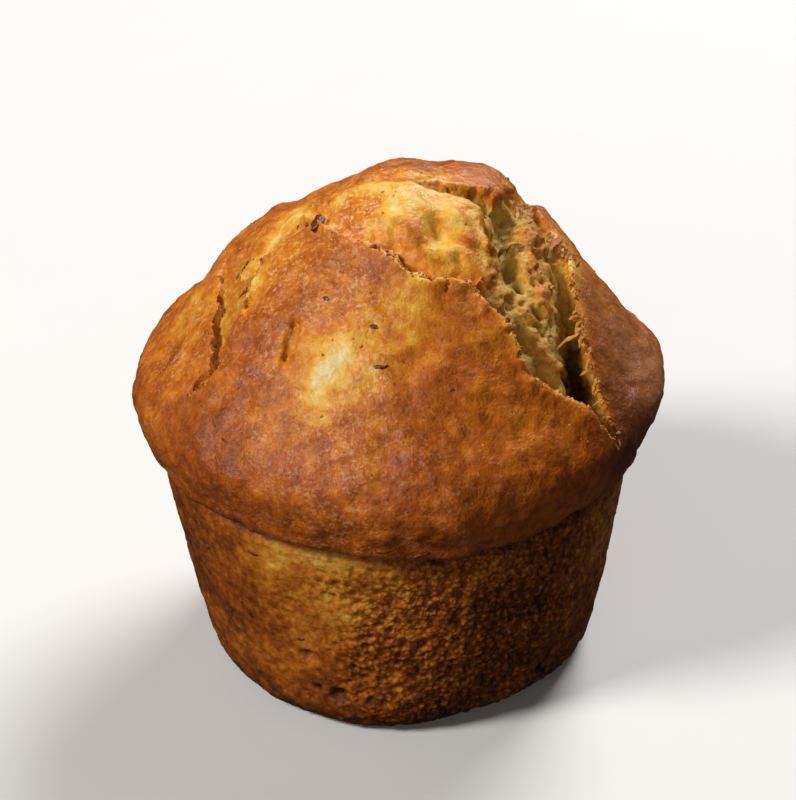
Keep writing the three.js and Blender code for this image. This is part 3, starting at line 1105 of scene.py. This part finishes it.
def baked_crust(colours):
    """Crust browned by dry oven heat: mottled amber over gold, faintly oily and pebbled; glints and sheen
    painted.
    """
    material, tree, shader = new_material("baked_crust")
    place = add(tree, "TexCoord").outputs["Object"]
    brown = add(tree, "Attribute", attribute_name="browning").outputs["Fac"]
    glint_and_gloss_at = add(tree, "Attribute", attribute_name="gloss").outputs["Fac"]
    dusty = add(tree, "Attribute", attribute_name="dusty").outputs["Fac"]
    # Broad mottling darkens the crust. The tops of its sandy grain are paler, painted light.
    mottle = add(tree, "TexNoise", {"Vector": place, "Scale": per(2.0), "Detail": 2, "Roughness": 0.55})
    sand = add(tree, "TexNoise", {"Vector": place, "Scale": per(0.5), "Detail": 3, "Roughness": 0.65})
    shade = add(tree, "Math", {0: mottle, 1: 0.55, 2: brown}, operation="MULTIPLY_ADD")
    shade = add(tree, "Math", {0: sand, 1: -0.45, 2: shade}, operation="MULTIPLY_ADD")
    shade = add(tree, "Math", {0: shade, 1: 0.06}, operation="SUBTRACT")
    colour = add(tree, "ValToRGB", {"Fac": shade}, stops=shades(
        colours, "crust", cream=0, butter=0.12, gold=0.26, amber=0.40, brown=0.55, dark=0.74, scorched=1))
    # Some of the scattered spots are scorched specks, which are faint on pale crust.
    spots = add(tree, "TexVoronoi", {"Vector": place, "Scale": per(1.2)})
    chosen = add(tree, "Math", {0: spots.outputs["Color"], 1: 0.55}, operation="GREATER_THAN")
    speck = add(tree, "MapRange", {"Value": spots.outputs["Distance"], "From Min": 0.24, "From Max": 0.08,
                                   "To Max": 0.55})
    speck = add(tree, "Math", {0: speck, 1: chosen}, operation="MULTIPLY")
    browned = add(tree, "MapRange", {"Value": brown, "From Min": 0.3, "From Max": 0.5, "To Min": 0.1})
    speck = add(tree, "Math", {0: speck, 1: browned}, operation="MULTIPLY")
    colour = add(tree, "Mix", {"Factor": speck, 6: colour, 7: colours.crust_speck}, data_type="RGBA")
    # Painted sheen greys the right of the crust.
    colour = add(tree, "Mix", {"Factor": dusty, 6: colour.outputs[2], 7: colours.crust_painted_sheen},
                 data_type="RGBA")
    # Painted highlights: pale glints on the grain's tops where the crust is glossy, fewer where dark.
    glint_noise = add(tree, "TexNoise", {"Vector": place, "Scale": per(0.75), "Detail": 3, "Roughness": 0.7})
    painted_glint = add(tree, "MapRange", {"Value": glint_noise, "From Min": 0.51, "From Max": 0.69})
    pale = add(tree, "MapRange", {"Value": brown, "From Min": 0.75, "From Max": 0.4, "To Min": 0.4})
    painted_glint = add(tree, "Math", {0: painted_glint, 1: pale}, operation="MULTIPLY")
    painted_glint = add(tree, "Math", {0: painted_glint, 1: glint_and_gloss_at}, operation="MULTIPLY")
    colour = add(tree, "Mix", {"Factor": painted_glint, 6: colour.outputs[2], 7: colours.crust_painted_glint},
                 data_type="RGBA")
    height = add(tree, "Math", {0: sand, 1: 0.7, 2: mottle}, operation="MULTIPLY_ADD")
    height = add(tree, "Math", {0: glint_noise, 1: 0.5, 2: height}, operation="MULTIPLY_ADD")
    bump = add(tree, "Bump", {"Height": height, "Strength": 1.0, "Distance": 0.21 * MM})
    gloss = add(tree, "MapRange", {"Value": glint_and_gloss_at, "To Min": 0.46, "To Max": 0.26})
    feed(tree, shader, {"Base Color": colour.outputs[2], "Normal": bump, "Roughness": gloss, "IOR": 1.45,
                        "Specular IOR Level": 0.32})
    return material


def tin_baked_wall(colours):
    """Wall fried brown against greased tin: coarse crumb grain, painted light on its tops and shade in its
    gaps.
    """
    material, tree, shader = new_material("tin_baked_wall")
    place = add(tree, "TexCoord").outputs["Object"]
    brown = add(tree, "Attribute", attribute_name="browning").outputs["Fac"]
    sponge = add(tree, "Attribute", attribute_name="sponge").outputs["Fac"]
    grain = add(tree, "TexNoise", {"Vector": place, "Scale": per(1.6), "Detail": 4, "Roughness": 0.65})
    torn = add(tree, "Mix", {"Factor": 0.0006, 4: place, 5: grain.outputs["Color"]}, data_type="VECTOR")
    crumbs = add(tree, "TexVoronoi", {"Vector": torn.outputs[1], "Scale": per(0.85)})
    # Painted shade and light: gaps between crumbs are darker, the gap shade only where the wall is spongy,
    # and the grain's tops are paler.
    gap_shade = add(tree, "MapRange", {"Value": crumbs.outputs["Distance"], "From Min": 0.25, "From Max": 0.75,
                                 "To Min": -0.08, "To Max": 0.16})
    gap_shade = add(tree, "Math", {0: gap_shade, 1: sponge}, operation="MULTIPLY")
    shade = add(tree, "Math", {0: grain, 1: -0.8, 2: brown}, operation="MULTIPLY_ADD")
    shade = add(tree, "Math", {0: crumbs.outputs["Distance"], 1: 0.12, 2: shade}, operation="MULTIPLY_ADD")
    shade = add(tree, "Math", {0: gap_shade, 1: shade}, operation="ADD")
    shade = add(tree, "Math", {0: shade, 1: 0.285}, operation="ADD")
    colour = add(tree, "ValToRGB", {"Fac": shade}, stops=shades(
        colours, "wall", straw=0, gold=0.22, amber=0.42, brown=0.6, dark=0.8, scorched=1))
    height = add(tree, "Math", {0: gap_shade, 1: -2.0, 2: grain}, operation="MULTIPLY_ADD")
    bump = add(tree, "Bump", {"Height": height, "Strength": 1.0, "Distance": 0.35 * MM})
    feed(tree, shader, {"Base Color": colour, "Normal": bump, "Roughness": 0.52, "Specular IOR Level": 0.24})
    return material


def torn_crumb(colours):
    """Moist torn crumb: pale olive gold, full of pores, toasted orange along the lips, painted darker deep
    in the split and in its pores as shade.
    """
    material, tree, shader = new_material("torn_crumb")
    place = add(tree, "TexCoord").outputs["Object"]
    depth = add(tree, "Attribute", attribute_name="depth").outputs["Fac"]
    toast = add(tree, "Attribute", attribute_name="toast").outputs["Fac"]
    cloud = add(tree, "TexNoise", {"Vector": place, "Scale": per(2.2), "Detail": 2, "Roughness": 0.6})
    grain = add(tree, "TexNoise", {"Vector": place, "Scale": per(1.0), "Detail": 4, "Roughness": 0.75})
    uneven = add(tree, "Mix", {"Factor": 0.0005, 4: place, 5: grain.outputs["Color"]}, data_type="VECTOR")
    holes = add(tree, "TexVoronoi", {"Vector": uneven.outputs[1], "Scale": per(1.25)})
    # The shade starts as the depth in millimetres, and the shaded and deep colours low in the split
    # are painted shade. Clouds deepen it, pores deepen it as painted shade and grain lifts it as painted
    # light on its tops.
    pore = add(tree, "MapRange", {"Value": holes.outputs["Distance"], "From Min": 0.36, "From Max": 0.08})
    shade = add(tree, "Math", {0: cloud, 1: 2.4, 2: depth}, operation="MULTIPLY_ADD")
    shade = add(tree, "Math", {0: grain, 1: -3.2, 2: shade}, operation="MULTIPLY_ADD")
    shade = add(tree, "Math", {0: pore, 1: 1.6, 2: shade}, operation="MULTIPLY_ADD")
    shade = add(tree, "MapRange", {"Value": shade, "From Min": 0.3, "From Max": 8.1})
    colour = add(tree, "ValToRGB", {"Fac": shade}, stops=shades(
        colours, "crumb", orange=0, gold=0.14, pale=0.26, olive=0.6, shaded=0.82, deep=1))
    colour = add(tree, "Mix", {"Factor": toast, 6: colour, 7: colours.crumb_toasted}, data_type="RGBA")
    height = add(tree, "Math", {0: pore, 1: -0.5, 2: grain}, operation="MULTIPLY_ADD")
    bump = add(tree, "Bump", {"Height": height, "Strength": 1.0, "Distance": 0.34 * MM})
    feed(tree, shader, {"Base Color": colour.outputs[2], "Normal": bump, "Roughness": 0.5,
                        "Specular IOR Level": 0.35})
    return material


def torn_fibre(colours):
    """Stretched strands of half-baked batter: dry, tan to toasted orange, faintly streaked, painted darker
    low in the split as shade.
    """
    material, tree, shader = new_material("torn_fibre")
    place = add(tree, "TexCoord").outputs["Object"]
    depth = add(tree, "Attribute", attribute_name="depth").outputs["Fac"]
    streak = add(tree, "TexNoise", {"Vector": place, "Scale": per(1.1), "Detail": 2, "Roughness": 0.6})
    shade = add(tree, "Math", {0: streak, 1: 3.0, 2: depth}, operation="MULTIPLY_ADD")
    shade = add(tree, "MapRange", {"Value": shade, "From Min": 1.0, "From Max": 6.0})
    colour = add(tree, "ValToRGB", {"Fac": shade}, stops=shades(
        colours, "fibre", orange=0, gold=0.3, tan=0.6, deep=1))
    bump = add(tree, "Bump", {"Height": streak, "Strength": 1.0, "Distance": 0.5 * MM})
    feed(tree, shader, {"Base Color": colour, "Normal": bump, "Roughness": 0.55, "Specular IOR Level": 0.35})
    return material


def banana_fibre(colours):
    """Bits of baked banana: dark purple brown, moist and a little glossy."""
    material, tree, shader = new_material("banana_fibre")
    place = add(tree, "TexCoord").outputs["Object"]
    tone = add(tree, "TexNoise", {"Vector": place, "Scale": per(0.8), "Detail": 2, "Roughness": 0.6})
    colour = add(tree, "ValToRGB", {"Fac": tone}, stops=shades(
        colours, "banana", dark=0.3, brown=0.52, tan=0.75))
    bump = add(tree, "Bump", {"Height": tone, "Strength": 1.0, "Distance": 0.25 * MM})
    feed(tree, shader, {"Base Color": colour, "Normal": bump, "Roughness": 0.38, "Specular IOR Level": 0.45})
    return material


def toasted_crumbs(colours):
    """Loose grains broken from the crust: orange at the lips, pale olive down in the split."""
    material, tree, shader = new_material("toasted_crumbs")
    place = add(tree, "TexCoord").outputs["Object"]
    depth = add(tree, "Attribute", attribute_name="depth").outputs["Fac"]
    tone = add(tree, "TexNoise", {"Vector": place, "Scale": per(0.9), "Detail": 1, "Roughness": 0.6})
    shade = add(tree, "Math", {0: tone, 1: 4.0, 2: depth}, operation="MULTIPLY_ADD")
    shade = add(tree, "MapRange", {"Value": shade, "From Min": 0.8, "From Max": 7.0})
    colour = add(tree, "ValToRGB", {"Fac": shade}, stops=shades(
        colours, "bits", orange=0, gold=0.25, pale=0.5, olive=1))
    feed(tree, shader, {"Base Color": colour, "Roughness": 0.5, "Specular IOR Level": 0.35})
    return material


def studio_paper():
    """Matte white studio paper, a shade off white."""
    material, tree, shader = new_material("studio_paper")
    grain = add(tree, "TexNoise", {"Scale": per(4), "Detail": 2})
    tone = add(tree, "MapRange", {"Value": grain, "To Min": 0.84, "To Max": 0.86})
    feed(tree, shader, {"Base Color": tone, "Roughness": 0.9})
    return material


# ---- Pieces ------------------------------------------------------------------------------


def make_muffin(sizes, colours):
    """The muffin itself: turned, baked uneven, split and given its grain."""
    muffin = turned_form("banana_muffin", section(), SIDES)
    move_to(muffin, bake(places_of(muffin)))
    tree = skin_of(muffin)
    for split in SPLITS:
        carve(muffin, split_cutter(split))
    apply_modifier(muffin, "REMESH", mode="VOXEL", voxel_size=sizes.skin, adaptivity=0)
    places = places_of(muffin)
    depth = depth_under(tree, places)
    lobe = inside(places, LOBE)
    torn = step(*TORN_DEPTHS, depth) * step(*TORN_LOBE, lobe)
    wall = step(*WALL_TOP, places[:, 2] - neck_height(places))
    out = relief(places, torn, wall, lobe) * step(*BASE_FLAT, places[:, 2])
    places += normals_of(muffin) * out[:, None]
    places[:, 2] = np.maximum(places[:, 2], 0)
    move_to(muffin, places)
    lip = away_from(places, CREVICE_LIP)
    # Painted shade: the crumb near the crevice's lip is coloured as if it lay deeper.
    dark = CREVICE_SHADE * near(lip, CREVICE_REACH)
    dark *= step(*CREVICE_DEPTHS, depth) * step(*CREVICE_ALONG, places[:, 1])
    patches = TOASTED_PATCHES * step(0.15, 0.8, bumps(places, 2.6, 2)) * step(*PATCH_DEPTHS, depth)
    toast = np.maximum(patches, TOASTED_LIP * near(lip, TOASTED_REACH) * step(*LIP_DEPTHS, depth))
    # The depth stored for the crumb's colour carries the crevice's painted shade.
    for name, values in (("depth", depth + dark), ("toast", toast), ("torn", torn), ("wall", wall)):
        write_attribute(muffin, name, values)
    faces = sum(len(p.vertices) - 2 for p in muffin.data.polygons)
    if faces > sizes.most_triangles:
        apply_modifier(muffin, "DECIMATE", ratio=sizes.most_triangles / faces)
    muffin.data.validate()
    places = places_of(muffin)
    write_attribute(muffin, "browning", browning(places))
    # Gloss sets the crust's roughness and how thickly painted glints lie on it.
    write_attribute(muffin, "gloss", glint_and_glossiness(places))
    write_attribute(muffin, "dusty", painted_sheen_share(places))
    write_attribute(muffin, "sponge", sponginess(places))
    muffin.data.materials.clear()
    for material in (baked_crust(colours), tin_baked_wall(colours), torn_crumb(colours)):
        muffin.data.materials.append(material)
    torn, wall = read_attribute(muffin, "torn"), read_attribute(muffin, "wall")
    finishes = []
    for face in muffin.data.polygons:
        corners = list(face.vertices)
        finishes.append(2 if torn[corners].mean() > 0.5 else 1 if wall[corners].mean() > 0.5 else 0)
    muffin.data.polygons.foreach_set("material_index", finishes)
    only(muffin)
    bpy.ops.object.shade_smooth()
    return muffin


def skin_of(obj):
    """A search tree over an object's surface."""
    return BVHTree.FromPolygons([v.co for v in obj.data.vertices], [p.vertices for p in obj.data.polygons])


def joined(name, parts):
    """One piece joined from several."""
    bpy.ops.object.select_all(action="DESELECT")
    for part in parts:
        part.select_set(True)
    bpy.context.view_layer.objects.active = parts[0]
    bpy.ops.object.join()
    parts[0].name = name
    return parts[0]


def copies_of(form, turns):
    """Copies of a small form, each with its own mesh, put where each matrix says."""
    copies = []
    for turn in turns:
        copy = form.copy()
        copy.data = form.data.copy()
        bpy.context.collection.objects.link(copy)
        copy.data.transform(turn)
        copies.append(copy)
    bpy.data.objects.remove(form)
    return copies


def on_skin(spot, outwards, turn, size, sunk):
    """The matrix that lays a form of unit size on the skin, sunk by a share of its height."""
    lay = outwards.to_track_quat("Z", "Y").to_matrix().to_4x4() @ Matrix.Rotation(turn, 4, "Z")
    length, width, height = (side * MM for side in size)
    place = Matrix.Translation(spot - outwards * height * sunk)
    return place @ lay @ Matrix.Diagonal((length, width, height, 1))


def lump(name, rings):
    """A small uneven lump about one unit across."""
    bpy.ops.object.select_all(action="DESELECT")
    bpy.ops.mesh.primitive_ico_sphere_add(subdivisions=rings, radius=0.5, location=(0, 0, 0))
    obj = bpy.context.object
    obj.name = name
    places = places_of(obj)
    size = np.linalg.norm(places, axis=1).max()
    move_to(obj, places * (1 + 0.5 * bumps(places / size + 4, 0.8))[:, None])
    return obj


def shred(middle, width, thickness):
    """A strand with pointed ends along a curve, wrapped from a grid and closed."""
    bpy.ops.object.select_all(action="DESELECT")
    bpy.ops.mesh.primitive_grid_add(x_subdivisions=STRAND_GRID[0], y_subdivisions=STRAND_GRID[1],
                                    size=1, location=(0, 0, 0))
    obj = bpy.context.object
    grid = places_of(obj) * MM
    around_it, along = 2 * math.pi * (grid[:, 0] + 0.5), grid[:, 1] + 0.5
    line = np.array([(x, y, crown_height(x, y) - depth) for x, y, depth in middle])
    curve = spline(line, STRAND_PLACES)
    centre = np.column_stack([along_list(curve[:, k], along) for k in range(3)])
    ahead = np.gradient(curve, axis=0)
    ahead = np.column_stack([along_list(ahead[:, k], along) for k in range(3)])
    side = np.cross(ahead, (0, 0, 1))
    side /= np.linalg.norm(side, axis=1)[:, None]
    rise = np.cross(side, ahead)
    rise /= np.linalg.norm(rise, axis=1)[:, None]
    half = width / 2 * np.sqrt(np.sin(math.pi * np.clip(along, 0, 1)))
    half *= 1 + STRAND_VARIES * bumps(centre, 1.1)
    places = centre + (half * np.cos(around_it))[:, None] * side
    places += (half * thickness * np.sin(around_it))[:, None] * rise
    move_to(obj, places + STRAND_RAGGED * half[:, None] * wander(places, *STRAND_NOISE))
    in_edit_mode(obj)
    bpy.ops.mesh.remove_doubles(threshold=0.02 * MM)
    bpy.ops.mesh.normals_make_consistent(inside=False)
    bpy.ops.object.mode_set(mode="OBJECT")
    return obj


def finish_bits(piece, material):
    """Gives scattered bits their depth under the crown, their finish and smooth shading."""
    places = places_of(piece)
    write_attribute(piece, "depth", crown_height(places[:, 0], places[:, 1]) - places[:, 2])
    piece.data.materials.clear()
    piece.data.materials.append(material)
    only(piece)
    bpy.ops.object.shade_smooth()


def make_shreds(colours):
    """Strands torn as the crown opened, the long ones and short ones hanging from the lip."""
    draw = np.random.default_rng(SHRED_SEED)
    strands = [shred(*strand) for strand in SHREDS]
    lip = spline(RIGHT_LIP, HANGING_PLACES)
    for start in draw.integers(20, HANGING_PLACES - 20, HANGING_SHREDS):
        x, y = lip[start]
        reach, slip, drop = draw.uniform(0.2, 1.1), draw.normal(0, 1.1), draw.uniform(0.6, 2.2)
        root, bend = (x + 0.4, y - slip / 3, 0.4), (x - 0.4 * reach, y + slip / 3, 0.5)
        middle = [root, bend, (x - reach, y + slip, drop)]
        strands.append(shred(middle, draw.uniform(0.4, 0.9), draw.uniform(0.4, 0.8)))
    shreds = joined("torn_shreds", strands)
    finish_bits(shreds, torn_fibre(colours))
    return shreds


def make_flecks(muffin, colours):
    """Flat bits of banana half sunk in the crust and the wall."""
    draw = np.random.default_rng(FLECK_SEED)
    skin = skin_of(muffin)
    turns = []
    for x, y, z, length, width in FLECKS:
        way = Vector((x, y, max(z - FLECK_MIDDLE, 0))).normalized()
        spot, *_ = skin.ray_cast(Vector((x, y, z)) * MM + way * 0.03, -way)
        turns.append(on_skin(spot, way, draw.uniform(-0.5, 0.5), (length, width, 0.4 + 0.1 * width), 0.25))
    for _ in range(STRAY_FLECKS):
        bearing, height = draw.uniform(-math.pi, math.pi), draw.uniform(6, 70)
        way = Vector((math.cos(bearing), math.sin(bearing), 0))
        spot, outwards, *_ = skin.ray_cast(Vector((0, 0, height)) * MM + way * 0.1, -way)
        size = draw.uniform(0.3, 0.8)
        turns.append(on_skin(spot, outwards, draw.uniform(0, 6.3), (size, size * 0.55, 0.3), 0.4))
    flecks = joined("banana_flecks", copies_of(lump("fleck", 2), turns))
    finish_bits(flecks, banana_fibre(colours))
    return flecks


def make_crumbs(muffin, colours):
    """Loose crumbs on the lips and in the splits, and a few strays on the crust."""
    draw = np.random.default_rng(CRUMB_SEED)
    skin = skin_of(muffin)
    spots = []
    for line, stray, count in CRUMB_LINES:
        curve = spline(line, CRUMB_PLACES)
        spots += [curve[k] + draw.normal(0, stray, 2) for k in draw.integers(0, CRUMB_PLACES, count)]
    spots += [draw.uniform(-STRAY_REACH, STRAY_REACH, 2) for _ in range(STRAY_CRUMBS)]
    turns = []
    for x, y in spots:
        spot, outwards, *_ = skin.ray_cast(Vector((x, y, 120)) * MM, Vector((0, 0, -1)))
        if spot is None or crown_height(x, y) - spot.z / MM > DEEPEST_CRUMB:
            continue
        size = draw.uniform(0.25, 0.75) * draw.uniform(0.7, 1.0, 3)
        turns.append(on_skin(spot, outwards, draw.uniform(0, 6.3), size, draw.uniform(0.05, 0.35)))
    crumbs = joined("loose_crumbs", copies_of(lump("crumb", 1), turns))
    finish_bits(crumbs, toasted_crumbs(colours))
    return crumbs


# ---- Stage -------------------------------------------------------------------------------


def around(bearing, elevation, distance):
    """A place at a bearing from the front and an elevation in degrees, around the aim."""
    turn, rise = math.radians(bearing), math.radians(elevation)
    return AIM + distance * Vector((math.sin(turn) * math.cos(rise), -math.cos(turn) * math.cos(rise),
                                    math.sin(rise)))


def aim(obj, target):
    """Turns a light or a camera to look at a point."""
    obj.rotation_euler = (target - obj.location).to_track_quat("-Z", "Y").to_euler()


def make_stage(stage):
    """A pale floor, a key light from the upper left, a back light, a weak fill and the camera."""
    bpy.ops.object.select_all(action="DESELECT")
    bpy.ops.mesh.primitive_plane_add(size=FLOOR_SIZE, location=(0, 0, -FLOOR_DROP * MM))
    floor = bpy.context.object
    floor.name = "floor"
    floor.data.materials.append(studio_paper())
    # The floor throws no light back up and isn't mirrored in the crust.
    floor.visible_diffuse = False
    floor.visible_glossy = False
    for name, (bearing, elevation, size, colour) in LIGHTS.items():
        bpy.ops.object.light_add(type="AREA", location=around(bearing, elevation, LIGHT_DISTANCE))
        light = bpy.context.object
        light.name = name
        light.data.shape = "DISK"
        light.data.size = size
        light.data.energy = getattr(stage, name + "_power")
        light.data.color = colour
        aim(light, AIM)
    bpy.ops.object.camera_add(location=around(0, CAMERA_ELEVATION, CAMERA_DISTANCE))
    camera = bpy.context.object
    camera.data.lens = CAMERA_LENS
    camera.data.clip_start = CAMERA_NEAREST
    aim(camera, AIM)
    scene = bpy.context.scene
    scene.camera = camera
    scene.world = scene.world or bpy.data.worlds.new("studio")
    scene.world.use_nodes = True
    tree = scene.world.node_tree
    feed(tree, tree.nodes["Background"], {"Color": linear(ROOM_COLOUR), "Strength": stage.ambient})
    scene.view_settings.view_transform = "Standard"


# ---- Settings, operators and panel -------------------------------------------------------


class MuffinSizes(bpy.types.PropertyGroup):
    """Sizes of the muffin's skin that a user may change."""

    skin: FloatProperty(name="Skin", description="Size of the faces that carry the grain",
                        default=0.42 * MM, min=0.2 * MM, subtype="DISTANCE", unit="LENGTH")
    most_triangles: IntProperty(name="Most triangles", description="Triangles that the skin may have",
                                default=192000, min=20000)


def tint(name, description, hex_colour):
    """A colour that a user may change."""
    return FloatVectorProperty(name=name, description=description, default=linear(hex_colour),
                               size=4, min=0, max=1, subtype="COLOR")


class MuffinColours(bpy.types.PropertyGroup):
    """Colours of the crust, the wall, the crumb and the bits."""

    crust_cream: tint("Crust cream", "Crust over a bubble, hardly baked", "fae2aa")
    crust_butter: tint("Crust butter", "Palest crust of the lobe", "facb58")
    crust_gold: tint("Crust gold", "Golden crust", "f0a630")
    crust_amber: tint("Crust amber", "Evenly baked crust", "da7e18")
    crust_brown: tint("Crust brown", "Well baked crust", "bc6010")
    # Crust dark also colours the painted shade in the fold under the cap.
    crust_dark: tint("Crust dark", "Crust of the folds and the rim's underside", "90420a")
    crust_scorched: tint("Crust scorched", "Darkest crust", "5c2606")
    crust_speck: tint("Crust speck", "Tiny scorched specks", "4a2010")
    # A painted sheen: greyish tan laid over the right of the crust.
    crust_painted_sheen: tint("Crust dusty", "Dull tan of the side away from the heat", "9c7450")
    # The glint colour is a painted highlight on the crust's grain.
    crust_painted_glint: tint("Crust glint", "Sugary tops of the crust's grains", "ffd4a8")
    wall_straw: tint("Wall straw", "Palest wall, just under the brim", "ecc470")
    wall_gold: tint("Wall gold", "Golden wall", "d99a38")
    wall_amber: tint("Wall amber", "Evenly baked wall", "c0701e")
    wall_brown: tint("Wall brown", "Wall fried against the tin", "984c10")
    # Wall dark also stands for the painted shade in the hollows between the wall's crumbs.
    wall_dark: tint("Wall dark", "Hollows between the wall's crumbs", "5e300c")
    wall_scorched: tint("Wall scorched", "Darkest wall", "281408")
    crumb_orange: tint("Crumb orange", "Crumb at the very lips", "d0761a")
    crumb_gold: tint("Crumb gold", "Crumb just under the lips", "e0a43a")
    crumb_pale: tint("Crumb pale", "Moist open crumb", "e6c262")
    crumb_olive: tint("Crumb olive", "Crumb low in the split", "c8a44a")
    # The shaded and deep crumb colours are painted shade, low in the split and in the crevice.
    crumb_shaded: tint("Crumb shaded", "Crumb in the crevice", "84692a")
    crumb_deep: tint("Crumb deep", "Bottom of the crevice", "3c280e")
    crumb_toasted: tint("Crumb toasted", "Toasted patches of the crumb", "ba7420")
    fibre_orange: tint("Fibre orange", "Strands at the lips", "b4641a")
    fibre_gold: tint("Fibre gold", "Strands just under the lips", "d08c34")
    fibre_tan: tint("Fibre tan", "Strands in the split", "bc8a3c")
    # Fibre deep is partly painted shade, on strands low in the split.
    fibre_deep: tint("Fibre deep", "Strands low in the split", "6c4c1a")
    banana_dark: tint("Banana dark", "Darkest of the bits of banana", "4a1e16")
    banana_brown: tint("Banana brown", "Most of the bits of banana", "6e3424")
    banana_tan: tint("Banana tan", "Palest of the bits of banana", "a05c34")
    bits_orange: tint("Crumbs orange", "Loose crumbs of the dark crust", "b45c14")
    bits_gold: tint("Crumbs gold", "Loose crumbs of the golden crust", "dc8c2c")
    bits_pale: tint("Crumbs pale", "Loose crumbs of the moist crumb", "d8a850")
    bits_olive: tint("Crumbs olive", "Loose crumbs low in the split", "a88c40")


class MuffinStage(bpy.types.PropertyGroup):
    """Light of the studio."""

    key_power: FloatProperty(name="Key power", description="Watts of the light on the left", default=19.0)
    back_power: FloatProperty(name="Back power", description="Watts of the light behind", default=22.0)
    front_power: FloatProperty(name="Front power", description="Watts of the low front light", default=5.0)
    ambient: FloatProperty(name="Ambient", description="Strength of the room's light", default=0.05)


class MUFFIN_OT_body(bpy.types.Operator):
    """Bake the muffin, with its crust, split crown and crumb"""

    bl_idname = "muffin.body"
    bl_label = "Muffin"

    def execute(self, context):
        muffin = make_muffin(context.scene.muffin_sizes, context.scene.muffin_colours)
        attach(muffin, "root")
        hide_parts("muffin")
        return {"FINISHED"}


class MUFFIN_OT_shreds(bpy.types.Operator):
    """Hang the torn strands across the splits"""

    bl_idname = "muffin.shreds"
    bl_label = "Shreds"

    def execute(self, context):
        shreds = make_shreds(context.scene.muffin_colours)
        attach(shreds, "root")
        return {"FINISHED"}


class MUFFIN_OT_flecks(bpy.types.Operator):
    """Sink the bits of banana in the crust"""

    bl_idname = "muffin.flecks"
    bl_label = "Flecks"

    def execute(self, context):
        flecks = make_flecks(bpy.data.objects["banana_muffin"], context.scene.muffin_colours)
        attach(flecks, "root")
        return {"FINISHED"}


class MUFFIN_OT_crumbs(bpy.types.Operator):
    """Scatter the loose crumbs"""

    bl_idname = "muffin.crumbs"
    bl_label = "Crumbs"

    def execute(self, context):
        crumbs = make_crumbs(bpy.data.objects["banana_muffin"], context.scene.muffin_colours)
        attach(crumbs, "root")
        return {"FINISHED"}


class MUFFIN_OT_stage(bpy.types.Operator):
    """Set up the floor, the lights and the camera"""

    bl_idname = "muffin.stage"
    bl_label = "Stage"

    def execute(self, context):
        make_stage(context.scene.muffin_stage)
        return {"FINISHED"}


class MUFFIN_PT_sidebar(bpy.types.Panel):
    """The muffin's pieces and settings"""

    bl_idname = "MUFFIN_PT_sidebar"
    bl_label = "Banana Muffin"
    bl_space_type = "VIEW_3D"
    bl_region_type = "UI"
    bl_category = "Muffin"

    def draw(self, context):
        for operator in OPERATORS:
            self.layout.operator(operator.bl_idname)
        scene = context.scene
        for settings in (scene.muffin_sizes, scene.muffin_colours, scene.muffin_stage):
            box = self.layout.box()
            for name in settings.__annotations__:
                box.prop(settings, name)


OPERATORS = (MUFFIN_OT_body, MUFFIN_OT_shreds, MUFFIN_OT_flecks, MUFFIN_OT_crumbs, MUFFIN_OT_stage)
CLASSES = (MuffinSizes, MuffinColours, MuffinStage, *OPERATORS, MUFFIN_PT_sidebar)


def register():
    for cls in CLASSES:
        bpy.utils.register_class(cls)
    bpy.types.Scene.muffin_sizes = PointerProperty(type=MuffinSizes)
    bpy.types.Scene.muffin_colours = PointerProperty(type=MuffinColours)
    bpy.types.Scene.muffin_stage = PointerProperty(type=MuffinStage)


def unregister():
    del bpy.types.Scene.muffin_stage
    del bpy.types.Scene.muffin_colours
    del bpy.types.Scene.muffin_sizes
    for cls in reversed(CLASSES):
        bpy.utils.unregister_class(cls)


def main():
    """Makes every piece and the stage."""
    register()
    bpy.ops.muffin.body()
    bpy.ops.muffin.shreds()
    bpy.ops.muffin.flecks()
    bpy.ops.muffin.crumbs()
    bpy.ops.muffin.stage()


if __name__ == "__main__":
    main()
